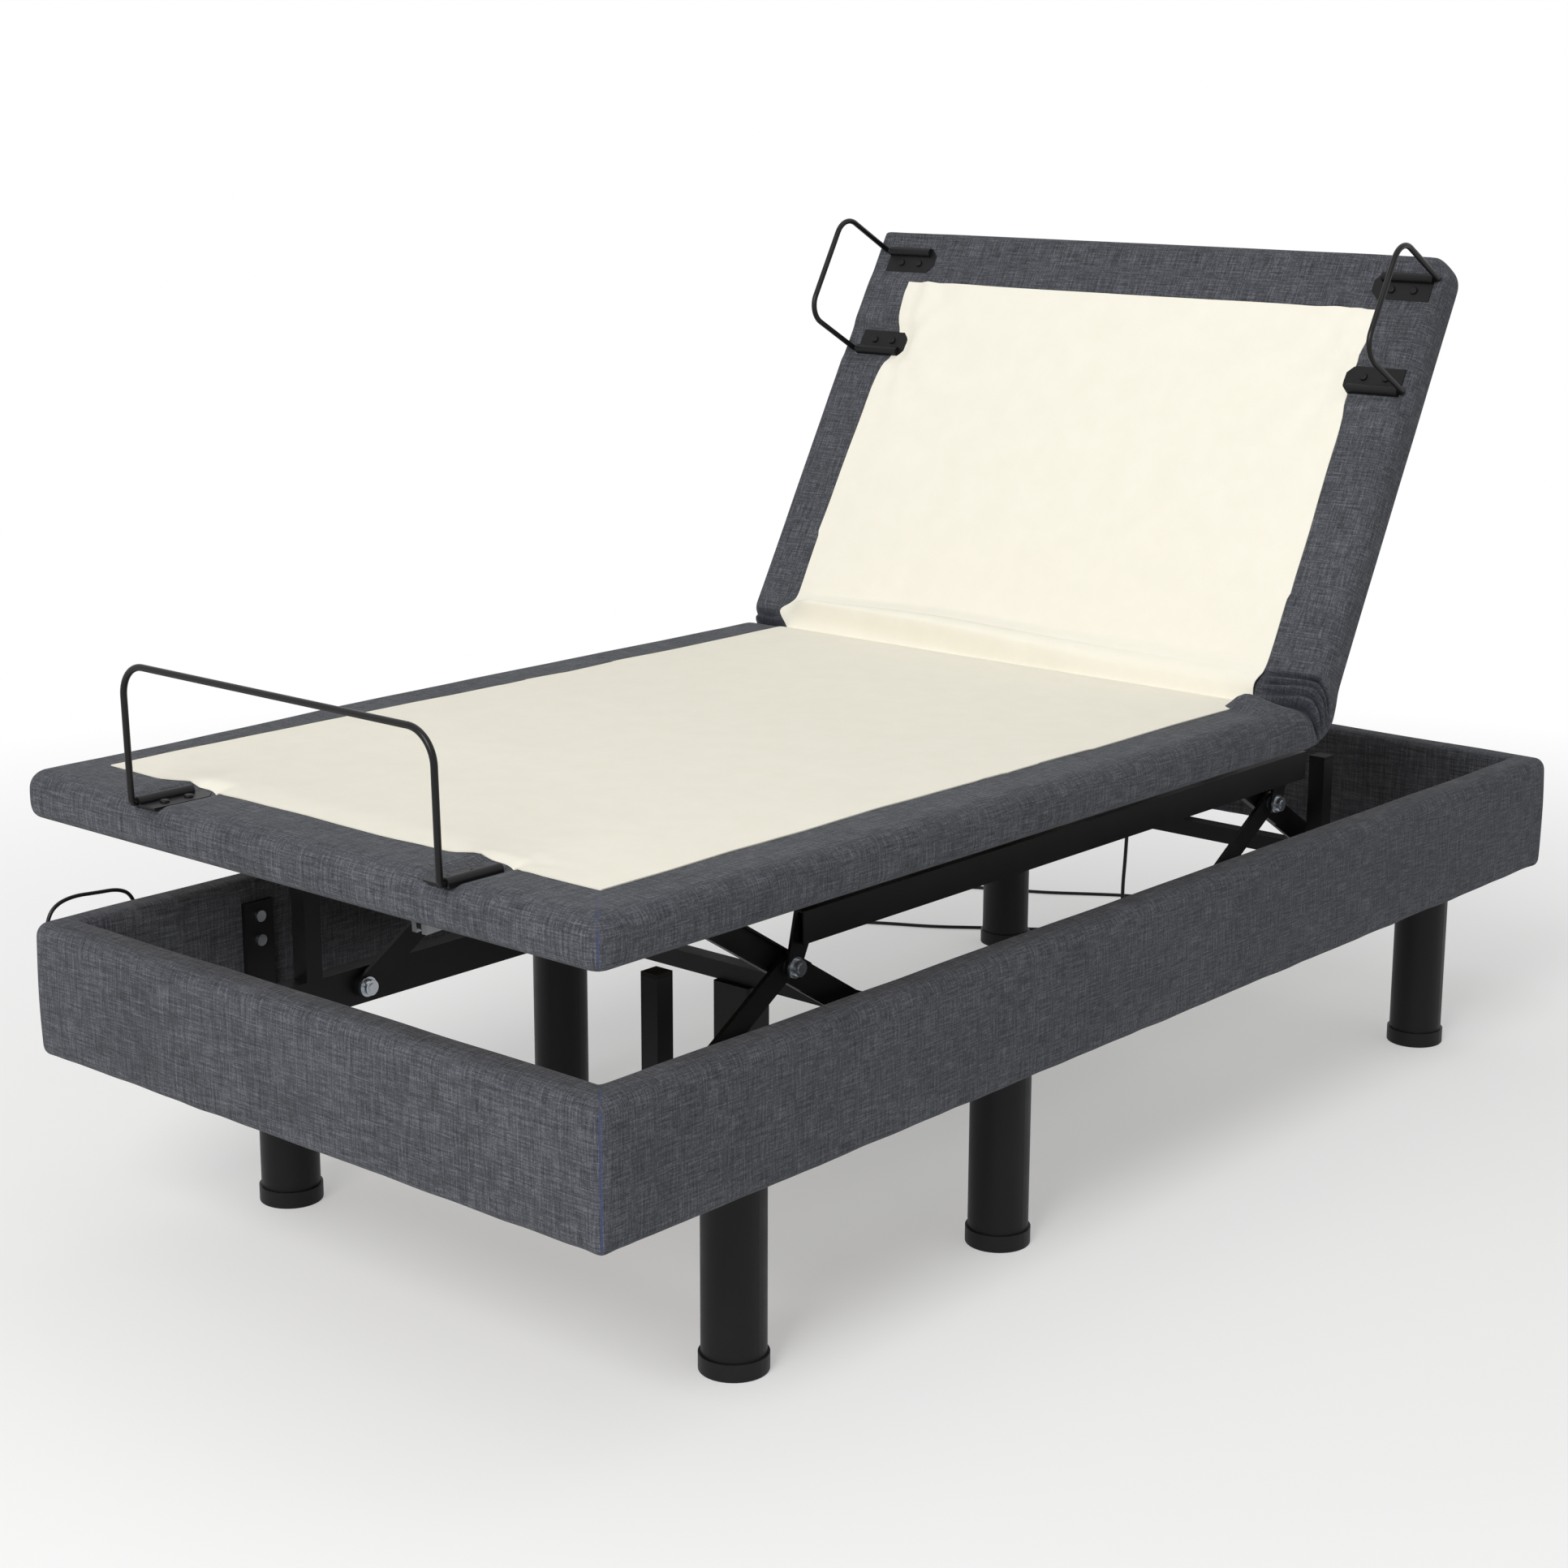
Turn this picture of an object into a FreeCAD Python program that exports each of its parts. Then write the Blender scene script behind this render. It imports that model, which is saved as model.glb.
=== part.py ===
"""Adjustable bed base with a high-low lift: upholstered surround, two scissor sets,
deck chassis, four hinged deck sections, three linear actuators and mattress retainers.

Millimetres, +Z up, +Y from the foot end to the head end, origin on the floor at the
centre of the surround. The lift stands raised, the back section stands at its raised
angle, and the thigh and calf sections lie flat.
"""
import FreeCAD, Part
import math
import os

from FreeCAD import Vector, Placement, Rotation

os.makedirs("parts", exist_ok=True)

# ---------------------------------------------------------------- driving dimensions
BED_WIDTH = 965.0
BED_LENGTH = 2032.0

# surround
RAIL_BOTTOM = 253.0
RAIL_HEIGHT = 169.0
RAIL_THICK = 46.0
RAIL_PADDING = 8.0

# lower steel frame
SIDE_TUBE_X = 300.0
SIDE_TUBE_WIDTH = 25.0
SIDE_TUBE_HEIGHT = 48.0
CROSS_TUBE_SIZE = 25.0
TUBE_WALL = 2.0
FRAME_BOTTOM = 250.0
SIDE_TUBE_INSETS = (226.0, 166.0)
LEG_INSETS = (304.0, 190.0)
MIDDLE_LEG_Y = -220.0
STRAP_WIDTH = 46.0
STRAP_THICK = 6.0
STRAP_TOP = 392.0
STRAP_BOLT_HEIGHTS = (341.0, 373.0)
STOP_POST_INSETS = (274.0, 354.0)
STOP_POST_SIZE = 25.0
STOP_PAD_THICK = 5.0
STOP_GAP = 1.0

# legs
LEG_INSET_X = 95.5
LEG_RADIUS = 38.0
LEG_WALL = 3.0
LEG_SPLIT = 137.0
LEG_CAP_RADIUS = 41.0
LEG_CAP_HEIGHT = 22.0
LEG_CAP_WALL = 2.6

# scissor lift
ARM_PIVOT_Z = 300.0
PIVOT_INSETS = (349.0, 628.0)
ARM_REACH_Y = 167.0
ARM_RISE = 104.0
ARM_TO_TUBE = 7.5
ARM_SPACING = 12.0
ARM_PLATE = 6.0
LIFT_ARM_HALF = 15.0
CROSS_ARM_HALF = 18.0
PIVOT_RADIUS = 6.0
PIN_PLAY = 0.1
FACE_PLAY = 0.3
NUT_RADIUS = 10.0
NUT_LENGTH = 8.0
WASHER_RADIUS = 13.0
WASHER_THICK = 3.0
ROLLER_RADIUS = 13.7
ROLLER_WIDTH = 12.0
TRACK_PLATE = 4.0
SYNC_SPACING = 10.0
SYNC_TAB_PLATE = 4.0
SYNC_BAR_WIDTH = 12.0
SYNC_BAR_BOTTOM = 29.0
SYNC_BAR_HEIGHT = 40.0
SYNC_BAR_OVERHANG = 57.0
SYNC_TAB_LEAN = 14.0
TORQUE_RADIUS = 12.5
TORQUE_WALL = 3.0
STUB_OVERHANG = 6.0
CROSS_ARM_FLANGE = 5.0
CROSS_ARM_FLANGE_THICK = 3.0
CROSS_ARM_FLANGE_SPAN = (0.07, 0.62)
LIFT_TRAVEL_DOWN = 126.0

# deck chassis
CHASSIS_SPACING = 30.5
CHASSIS_TUBE_WIDTH = 25.0
CHASSIS_TUBE_HEIGHT = 40.0
CHASSIS_PIVOT_RISE = 18.0
CHASSIS_OVERHANGS = (53.0, 302.0)
SEAT_CROSS_INSET = 188.0
REST_PAD_AHEAD = 17.0

# deck sections
DECK_CLEARANCE = 22.0
DECK_THICK = 59.0
PAD_THICK = 8.0
BOARD_THICK = 18.0
APRON_THICK = 20.0
DECK_CORNER_RADIUS = 22.0
BACK_HINGE_Y = 336.0
THIGH_HINGE_Y = 60.0
KNEE_HINGE_Y = -300.0
BACK_ANGLE = 61.0
BACK_CLEAR_ANGLE = 64.5
THIGH_CLEAR_ANGLE = 36.0
HINGE_GAP = 1.5
SECTION_RAIL_SIZE = 25.0
BACK_RAIL_INSET = 35.0
CALF_RAIL_OUTSET = 6.0
LUG_PLATE = 6.0
LUG_RADIUS = 13.0
HINGE_PIN_RADIUS = 5.0

# actuators: lateral place, base pivot, crank radius and crank angle from straight down
ACTUATOR_CROSS_Y = -190.0
LIFT_ACTUATOR_INSET = 87.5
LIFT_ACTUATOR_DROP = 50.0
LIFT_HORN_RADIUS = 95.0
LIFT_HORN_LEAD = -5.5
BACK_ACTUATOR_INSET = 167.5
BACK_ACTUATOR_DROP = 20.0
BACK_CRANK_RADIUS = 150.0
BACK_CRANK_LEAD = 30.5
LEG_ACTUATOR_X = 70.0
LEG_ACTUATOR_INSET = 130.0
LEG_ACTUATOR_DROP = 20.0
LEG_CRANK_RADIUS = 130.0
LEG_CRANK_LEAD = 17.5
CRANK_PLATE = 8.0
CRANK_HALF = 13.0
FORK_PLAY = 0.5
ROD_RADIUS = 10.0
SLEEVE_RADIUS = 17.0
SLEEVE_BORE_START = 104.0
LIFT_NOSE_GAP = 196.83
BACK_NOSE_GAP = 253.98
LEG_NOSE_GAP = 162.82
LIFT_ROD_SEAT = 0.462
BACK_ROD_SEAT = 0.736
LEG_ROD_SEAT = 0.439

# mattress retainers
ROD_DIAMETER = 8.0
FOOT_RETAINER_X = 260.0
FOOT_RETAINER_HEIGHT = 160.0
FOOT_RETAINER_OUT = 6.0
FOOT_RETAINER_BEND = 38.0
SIDE_RETAINER_INSET = 4.5
SIDE_RETAINER_END_INSETS = (189.0, 23.0)
SIDE_RETAINER_HEIGHT = 119.0
SIDE_RETAINER_BEND = 30.0
FOOT_BEND = 6.0
CLAMP_LENGTH = 90.0
CLAMP_WIDTH = 40.0
CLAMP_PLATE = 2.5
CLAMP_ROD_OFFSET = 13.0
CLAMP_NOSE = 12.0
POCKET_MARGIN = 2.0

# control box under the middle cross tube
CONTROL_BOX_X = (-76.0, -12.0)
CONTROL_BOX_DEPTH = 44.0
CONTROL_BOX_HEIGHT = 92.0

# cords
CORD_DIAMETER = 6.0
FLOOR_Z = 3.3
CABLE_DIAMETER = 5.0

# ---------------------------------------------------------------- derived values
HALF_W = BED_WIDTH / 2.0
HALF_L = BED_LENGTH / 2.0
SIDE_TUBE_INNER_X = SIDE_TUBE_X - SIDE_TUBE_WIDTH / 2.0
LIFT_ARM_X = SIDE_TUBE_INNER_X - ARM_TO_TUBE
CROSS_ARM_X = LIFT_ARM_X - ARM_SPACING
SYNC_TAB_X = LIFT_ARM_X + SYNC_SPACING
CHASSIS_X = CROSS_ARM_X - CHASSIS_SPACING
BACK_RAIL_X = CHASSIS_X - BACK_RAIL_INSET
LIFT_ACTUATOR_X = -(CHASSIS_X - LIFT_ACTUATOR_INSET)
BACK_ACTUATOR_X = -(CHASSIS_X - BACK_ACTUATOR_INSET)
CALF_RAIL_X = CHASSIS_X + CALF_RAIL_OUTSET
CENTRE_Z = ARM_PIVOT_Z + ARM_RISE
UPPER_PIVOT_Z = ARM_PIVOT_Z + 2.0 * ARM_RISE
CHASSIS_TUBE_BOTTOM = UPPER_PIVOT_Z - CHASSIS_PIVOT_RISE
CHASSIS_TUBE_TOP = CHASSIS_TUBE_BOTTOM + CHASSIS_TUBE_HEIGHT
DECK_BOTTOM = CHASSIS_TUBE_TOP + DECK_CLEARANCE
DECK_TOP = DECK_BOTTOM + DECK_THICK
LIFT_ACTUATOR_BASE = (ACTUATOR_CROSS_Y, CHASSIS_TUBE_BOTTOM - LIFT_ACTUATOR_DROP)
BACK_ACTUATOR_BASE = (ACTUATOR_CROSS_Y, CHASSIS_TUBE_BOTTOM - BACK_ACTUATOR_DROP)
SIDE_TUBE_Y = (-HALF_L + SIDE_TUBE_INSETS[0], HALF_L - SIDE_TUBE_INSETS[1])
LEG_STATIONS = (-HALF_L + LEG_INSETS[0], MIDDLE_LEG_Y, HALF_L - LEG_INSETS[1])
STOP_POST_Y = (-HALF_L + STOP_POST_INSETS[0], HALF_L - STOP_POST_INSETS[1])
FOOT_PIVOT_Y = -HALF_L + PIVOT_INSETS[0]
HEAD_PIVOT_Y = HALF_L - PIVOT_INSETS[1]
CHASSIS_Y = (FOOT_PIVOT_Y - CHASSIS_OVERHANGS[0], HEAD_PIVOT_Y + CHASSIS_OVERHANGS[1])
SEAT_CROSS_Y = HEAD_PIVOT_Y - SEAT_CROSS_INSET
LEG_ACTUATOR_Y = CHASSIS_Y[1] - LEG_ACTUATOR_INSET
LEG_ACTUATOR_BASE = (LEG_ACTUATOR_Y, CHASSIS_TUBE_BOTTOM - LEG_ACTUATOR_DROP)
CHASSIS_CROSS_Y = (CHASSIS_Y[0] + CROSS_TUBE_SIZE / 2.0, ACTUATOR_CROSS_Y, SEAT_CROSS_Y,
                   LEG_ACTUATOR_BASE[0] + 10.0)
SIDE_RETAINER_X = HALF_W - SIDE_RETAINER_INSET
BACK_LENGTH = HALF_L - BACK_HINGE_Y
SIDE_RETAINER_S = tuple(BACK_LENGTH - inset for inset in SIDE_RETAINER_END_INSETS)
LEG_X = HALF_W - LEG_INSET_X
RAIL_TOP = RAIL_BOTTOM + RAIL_HEIGHT
RAIL_INNER_X = HALF_W - RAIL_THICK
SIDE_TUBE_BOTTOM = FRAME_BOTTOM + CROSS_TUBE_SIZE
SIDE_TUBE_TOP = SIDE_TUBE_BOTTOM + SIDE_TUBE_HEIGHT
BOARD_TOP = DECK_TOP - PAD_THICK
BOARD_BOTTOM = BOARD_TOP - BOARD_THICK
STOP_POST_TOP = BOARD_BOTTOM - LIFT_TRAVEL_DOWN - STOP_GAP - STOP_PAD_THICK
ROD_RADIUS_BENT = ROD_DIAMETER / 2.0
ROD_CENTRE_Z = BOARD_TOP + FACE_PLAY + ROD_RADIUS_BENT
SCISSOR_PIVOTS = {"foot": FOOT_PIVOT_Y, "head": HEAD_PIVOT_Y}


# ---------------------------------------------------------------- shape helpers
def block(x_pair, y_pair, z_pair):
    """Box between two limits on each axis."""
    (x0, x1), (y0, y1), (z0, z1) = x_pair, y_pair, z_pair
    return Part.makeBox(x1 - x0, y1 - y0, z1 - z0, Vector(x0, y0, z0))


def rod(start, end, radius):
    """Cylinder between two points."""
    start, end = Vector(*start), Vector(*end)
    axis = end - start
    return Part.makeCylinder(radius, axis.Length, start, axis)


def cone(start, end, radius_start, radius_end):
    """Tapered cylinder between two points."""
    start, end = Vector(*start), Vector(*end)
    axis = end - start
    return Part.makeCone(radius_start, radius_end, axis.Length, start, axis)


def across(x0, x1, y, z, radius):
    """Cylinder along X."""
    return rod((x0, y, z), (x1, y, z), radius)


def box_tube(x_pair, y_pair, z_pair, along, wall=TUBE_WALL):
    """Rectangular tube with open ends along one axis (0 = X, 1 = Y, 2 = Z)."""
    inner = []
    for axis, (low, high) in enumerate((x_pair, y_pair, z_pair)):
        inner.append((low, high) if axis == along else (low + wall, high - wall))
    return block(x_pair, y_pair, z_pair).cut(block(*inner))


def prism(outline, x0, x1):
    """Polygon of (y, z) points extruded along X."""
    points = [Vector(x0, y, z) for y, z in outline]
    face = Part.Face(Part.makePolygon(points + points[:1]))
    return face.extrude(Vector(x1 - x0, 0, 0))


def strip(start, end, half, x0, x1):
    """Flat bar with round ends between two (y, z) points."""
    (ya, za), (yb, zb) = start, end
    length = math.hypot(yb - ya, zb - za)
    ny, nz = -(zb - za) / length * half, (yb - ya) / length * half
    web = prism([(ya + ny, za + nz), (yb + ny, zb + nz), (yb - ny, zb - nz), (ya - ny, za - nz)], x0, x1)
    return web.fuse([across(x0, x1, ya, za, half), across(x0, x1, yb, zb, half)]).removeSplitter()


def mirrored(shape):
    """The same shape on the other side of the centreline."""
    return shape.mirror(Vector(0, 0, 0), Vector(1, 0, 0))


def pair(shape):
    """A shape and its mirror image."""
    return [shape, mirrored(shape)]


def turned(shape, y, z, degrees):
    """Copy turned about an axis along X through (y, z)."""
    copy = shape.copy()
    copy.rotate(Vector(0, y, z), Vector(1, 0, 0), degrees)
    return copy


def raised_back(shape):
    """A back-section shape, modelled flat, turned up to its rest angle."""
    return turned(shape, BACK_HINGE_Y, DECK_BOTTOM, BACK_ANGLE)


def rounded_path(points, radii):
    """Wire of straight runs joined by tangent arcs. One radius per inner point."""
    points = [Vector(*p) for p in points]
    edges = []
    start = points[0]
    for before, corner, after, radius in zip(points, points[1:], points[2:], radii):
        arriving = (corner - before).normalize()
        leaving = (after - corner).normalize()
        turn = math.acos(max(-1.0, min(1.0, arriving.dot(leaving))))
        setback = radius * math.tan(turn / 2.0)
        enter, leave = corner - arriving * setback, corner + leaving * setback
        towards = (leaving - arriving).normalize()
        middle = corner + towards * (radius / math.cos(turn / 2.0) - radius)
        edges.append(Part.LineSegment(start, enter).toShape())
        edges.append(Part.Arc(enter, middle, leave).toShape())
        start = leave
    edges.append(Part.LineSegment(start, points[-1]).toShape())
    return Part.Wire(edges)


def swept_rod(wire, radius):
    """Round bar or cord along a wire of runs and arcs."""
    first = wire.Edges[0]
    start = first.valueAt(first.FirstParameter)
    heading = first.tangentAt(first.FirstParameter)
    profile = Part.Wire(Part.makeCircle(radius, start, heading))
    solid = wire.makePipeShell([profile], True, True)
    return Part.makeSolid(solid) if solid.ShapeType == "Shell" else solid


def cord_tube(name, points, diameter):
    """Cord tube whose arcs are as large as its runs allow. Prints its radii and length."""
    vectors = [Vector(*p) for p in points]
    runs = [(b - a).Length for a, b in zip(vectors, vectors[1:])]
    radii = []
    for index in range(1, len(vectors) - 1):
        arriving = (vectors[index] - vectors[index - 1]).normalize()
        leaving = (vectors[index + 1] - vectors[index]).normalize()
        turn = math.acos(max(-1.0, min(1.0, arriving.dot(leaving))))
        radii.append(0.45 * min(runs[index - 1], runs[index]) / math.tan(turn / 2.0))
    wire = rounded_path(points, radii)
    tube = swept_rod(wire, diameter / 2.0)
    expected = math.pi * diameter ** 2 / 4.0 * wire.Length
    print(name, "length", round(wire.Length, 1), "least radius", round(min(radii), 1),
          "longest run", round(max(runs), 1), "volume ratio", round(tube.Volume / expected, 4))
    return tube


def save(name, shapes):
    """Write one node. A list becomes a group of separate solids."""
    solids = []
    for shape in shapes if isinstance(shapes, list) else [shapes]:
        solids.extend(shape.Solids)
    for solid in solids:
        if not solid.isValid() or solid.Volume <= 0:
            raise ValueError(name + " holds a bad solid")
    Part.makeCompound(solids).exportStep("parts/" + name + ".step")


# ---------------------------------------------------------------- surround
def build_surround():
    """Padded covers over timber boards, butted at the corners."""
    side_x = (HALF_W - RAIL_THICK, HALF_W)
    side_y = (-HALF_L, HALF_L)
    rail_z = (RAIL_BOTTOM, RAIL_TOP)
    end_x = (-RAIL_INNER_X, RAIL_INNER_X)
    end_y = (-HALF_L, -HALF_L + RAIL_THICK)
    pad = RAIL_PADDING
    core_z = (RAIL_BOTTOM + pad, RAIL_TOP - pad)
    side_core = block((side_x[0] + pad, side_x[1] - pad), (side_y[0] + pad, side_y[1] - pad), core_z)
    end_core = block(end_x, (end_y[0] + pad, end_y[1] - pad), core_z)
    side_cover = block(side_x, side_y, rail_z).cut(side_core)
    end_cover = block(end_x, end_y, rail_z).cut(end_core)
    ends = [end_cover, end_cover.mirror(Vector(0, 0, 0), Vector(0, 1, 0))]
    cores = pair(side_core) + [end_core, end_core.mirror(Vector(0, 0, 0), Vector(0, 1, 0))]
    save("side_rail_covers", pair(side_cover))
    save("end_rail_covers", ends)
    save("surround_boards", cores)


# ---------------------------------------------------------------- lower frame and legs
def side_tube():
    """Long lower tube on the right, with a bore for each lift-arm pivot."""
    half = SIDE_TUBE_WIDTH / 2.0
    tube = box_tube((SIDE_TUBE_X - half, SIDE_TUBE_X + half), SIDE_TUBE_Y,
                    (SIDE_TUBE_BOTTOM, SIDE_TUBE_TOP), 1)
    for pivot_y in SCISSOR_PIVOTS.values():
        tube = tube.cut(across(SIDE_TUBE_X - half - 1, SIDE_TUBE_X + half + 1, pivot_y,
                               ARM_PIVOT_Z, PIVOT_RADIUS))
    return tube


def build_lower_frame():
    """Side tubes, cross tubes, outriggers, straps, stop posts and roller tracks."""
    save("lower_side_tubes", pair(side_tube()))

    half = CROSS_TUBE_SIZE / 2.0
    level = (FRAME_BOTTOM, FRAME_BOTTOM + CROSS_TUBE_SIZE)
    end_x = RAIL_INNER_X - STRAP_THICK
    foot, middle, head = LEG_STATIONS
    tubes = [box_tube((-end_x, end_x), (y - half, y + half), level, 0) for y in (middle, head)]
    tubes += pair(box_tube((SIDE_TUBE_INNER_X, end_x), (foot - half, foot + half), level, 0))
    save("lower_cross_tubes", tubes)
    box = block(CONTROL_BOX_X, (middle - CONTROL_BOX_DEPTH / 2.0, middle + CONTROL_BOX_DEPTH / 2.0),
                (FRAME_BOTTOM - CONTROL_BOX_HEIGHT, FRAME_BOTTOM))
    save("control_box", box.makeFillet(4.0, [e for e in box.Edges if e.CenterOfMass.z < FRAME_BOTTOM - 1.0]))

    straps, bolts = [], []
    for y in LEG_STATIONS:
        strap = block((RAIL_INNER_X - STRAP_THICK, RAIL_INNER_X),
                      (y - STRAP_WIDTH / 2.0, y + STRAP_WIDTH / 2.0), (FRAME_BOTTOM + 4.0, STRAP_TOP))
        for z in STRAP_BOLT_HEIGHTS:
            shank = across(RAIL_INNER_X - STRAP_THICK, RAIL_INNER_X, y, z, 4.0)
            head_disc = across(RAIL_INNER_X - STRAP_THICK - 5.0, RAIL_INNER_X - STRAP_THICK, y, z, 7.5)
            strap = strap.cut(shank)
            bolts += pair(shank.fuse(head_disc).removeSplitter())
        straps += pair(strap)
    save("strap_plates", straps)
    save("strap_bolts", bolts)

    posts, pads = [], []
    half = STOP_POST_SIZE / 2.0
    for y in STOP_POST_Y:
        x_pair = (SIDE_TUBE_X - half, SIDE_TUBE_X + half)
        posts += pair(box_tube(x_pair, (y - half, y + half), (SIDE_TUBE_TOP, STOP_POST_TOP), 2))
        pads += pair(block(x_pair, (y - half, y + half), (STOP_POST_TOP, STOP_POST_TOP + STOP_PAD_THICK)))
    save("stop_posts", posts)
    save("stop_post_pads", pads)

    tracks = []
    for pivot_y in SCISSOR_PIVOTS.values():
        y_pair = (pivot_y + 2.0 * ARM_REACH_Y - 62.0, pivot_y + 2.0 * ARM_REACH_Y + 72.0)
        low = ARM_PIVOT_Z - ROLLER_RADIUS - FACE_PLAY
        high = ARM_PIVOT_Z + ROLLER_RADIUS + FACE_PLAY
        x_pair = (LIFT_ARM_X - ROLLER_WIDTH / 2.0, SIDE_TUBE_INNER_X)
        tracks += pair(block(x_pair, y_pair, (low - TRACK_PLATE, low)))
        tracks += pair(block(x_pair, y_pair, (high, high + TRACK_PLATE)))
    save("roller_tracks", tracks)


def build_legs():
    """Six two-part legs, each with a plastic foot cap."""
    uppers, lowers, caps = [], [], []
    for y in LEG_STATIONS:
        for x in (-LEG_X, LEG_X):
            bore = rod((x, y, LEG_CAP_WALL), (x, y, FRAME_BOTTOM - LEG_WALL), LEG_RADIUS - LEG_WALL)
            upper = rod((x, y, LEG_SPLIT), (x, y, FRAME_BOTTOM), LEG_RADIUS)
            lower = rod((x, y, LEG_CAP_WALL), (x, y, LEG_SPLIT), LEG_RADIUS)
            cap = rod((x, y, 0), (x, y, LEG_CAP_HEIGHT), LEG_CAP_RADIUS)
            cap = cap.makeFillet(2.0, [e for e in cap.Edges if e.Closed and e.CenterOfMass.z < 1.0])
            uppers.append(upper.cut(bore))
            lowers.append(lower.cut(bore))
            caps.append(cap.cut(rod((x, y, LEG_CAP_WALL), (x, y, LEG_CAP_HEIGHT + 1), LEG_RADIUS)))
    save("leg_upper_segments", uppers)
    save("leg_lower_segments", lowers)
    save("leg_foot_caps", caps)


# ---------------------------------------------------------------- scissor lift
ACTUATOR_EAR_X = 24.0
PIVOT_HEAD = 5.0


def pivot_hole(y, z):
    """Bore cutter for a pivot, with running play, right through the right-hand side."""
    return across(CHASSIS_X - 30.0, SIDE_TUBE_X + 30.0, y, z, PIVOT_RADIUS + PIN_PLAY)


def arm_flanges(start, end):
    """Two lips along the long edges of the right-hand cross arm, clear of its pivots."""
    (ya, za), (yb, zb) = start, end
    length = math.hypot(yb - ya, zb - za)
    dy, dz = (yb - ya) / length, (zb - za) / length
    low, high = (share * length for share in CROSS_ARM_FLANGE_SPAN)
    x0 = CROSS_ARM_X + ARM_PLATE / 2.0
    lips = []
    for near, far in ((CROSS_ARM_HALF - CROSS_ARM_FLANGE_THICK, CROSS_ARM_HALF),
                      (-CROSS_ARM_HALF, -CROSS_ARM_HALF + CROSS_ARM_FLANGE_THICK)):
        outline = [(ya + dy * s - dz * n, za + dz * s + dy * n)
                   for s, n in ((low, near), (high, near), (high, far), (low, far))]
        lips.append(prism(outline, x0, x0 + CROSS_ARM_FLANGE))
    return lips


def lift_pin():
    """Place of the lift actuator's pin on the horn of the foot torque tube."""
    lead = math.radians(LIFT_HORN_LEAD)
    return (FOOT_PIVOT_Y + LIFT_HORN_RADIUS * math.sin(lead), UPPER_PIVOT_Z - LIFT_HORN_RADIUS * math.cos(lead))


def build_scissor(end):
    """One scissor set: short lift arms, long cross arms, rollers, centre bolts, torque tube."""
    pivot_y = SCISSOR_PIVOTS[end]
    low = (pivot_y, ARM_PIVOT_Z)
    centre = (pivot_y + ARM_REACH_Y, CENTRE_Z)
    top = (pivot_y, UPPER_PIVOT_Z)
    toe = (pivot_y + 2.0 * ARM_REACH_Y, ARM_PIVOT_Z)
    half_plate = ARM_PLATE / 2.0
    bore_x = (CROSS_ARM_X - ARM_SPACING, LIFT_ARM_X + ARM_SPACING)
    centre_bore = across(*bore_x, *centre, PIVOT_RADIUS)
    toe_bore = across(*bore_x, *toe, PIVOT_RADIUS)

    arm = strip(low, centre, LIFT_ARM_HALF, LIFT_ARM_X - half_plate, LIFT_ARM_X + half_plate)
    arm = arm.cut(pivot_hole(*low)).cut(centre_bore)
    save(end + "_lift_arms", pair(arm))

    cross = strip(top, toe, CROSS_ARM_HALF, CROSS_ARM_X - half_plate, CROSS_ARM_X + half_plate)
    cross = cross.fuse(arm_flanges(top, toe)).removeSplitter()
    cross = cross.cut(pivot_hole(*centre)).cut(toe_bore)
    save(end + "_cross_arms", pair(cross))

    axle = across(CROSS_ARM_X - half_plate - PIVOT_HEAD, LIFT_ARM_X + ROLLER_WIDTH / 2.0, *toe, PIVOT_RADIUS)
    axle = axle.fuse(across(CROSS_ARM_X - half_plate - PIVOT_HEAD, CROSS_ARM_X - half_plate, *toe, NUT_RADIUS))
    tyre_x = (LIFT_ARM_X - ROLLER_WIDTH / 2.0 + FACE_PLAY, LIFT_ARM_X + ROLLER_WIDTH / 2.0)
    tyre = across(*tyre_x, *toe, ROLLER_RADIUS).cut(toe_bore)
    save(end + "_rollers", pair(axle.removeSplitter()) + pair(tyre))

    inner = CROSS_ARM_X - half_plate - FACE_PLAY
    tab_outer = SYNC_TAB_X + SYNC_TAB_PLATE / 2.0 + FACE_PLAY
    nut_x = tab_outer + WASHER_THICK
    shank = across(inner - PIVOT_HEAD, nut_x + NUT_LENGTH, *centre, PIVOT_RADIUS)
    bolt = shank.fuse([across(inner - PIVOT_HEAD, inner, *centre, NUT_RADIUS),
                       across(tab_outer, nut_x, *centre, WASHER_RADIUS),
                       across(nut_x, nut_x + NUT_LENGTH - 1.0, *centre, NUT_RADIUS)]).removeSplitter()
    spacer_x = (CROSS_ARM_X + half_plate + FACE_PLAY, LIFT_ARM_X - half_plate)
    bush = across(*spacer_x, *centre, NUT_RADIUS).cut(shank)
    outer_x = (LIFT_ARM_X + half_plate, SYNC_TAB_X - SYNC_TAB_PLATE / 2.0 - FACE_PLAY)
    bush_outer = across(*outer_x, *centre, NUT_RADIUS).cut(shank)
    save(end + "_centre_bolts", pair(bolt) + pair(bush) + pair(bush_outer))

    reach = CROSS_ARM_X - half_plate
    bore = across(-reach, reach, *top, TORQUE_RADIUS - TORQUE_WALL)
    if end == "foot":
        horn = strip(top, lift_pin(), CRANK_HALF, LIFT_ACTUATOR_X - CRANK_PLATE / 2.0,
                     LIFT_ACTUATOR_X + CRANK_PLATE / 2.0)
        tube = across(-reach, reach, *top, TORQUE_RADIUS)
        save("foot_torque_tube", [tube.cut(bore), horn.cut(tube)])
    else:
        stub = across(CHASSIS_X - CHASSIS_TUBE_WIDTH / 2.0 - STUB_OVERHANG, reach, *top, TORQUE_RADIUS)
        save("head_stub_axles", pair(stub.cut(bore)))


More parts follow.
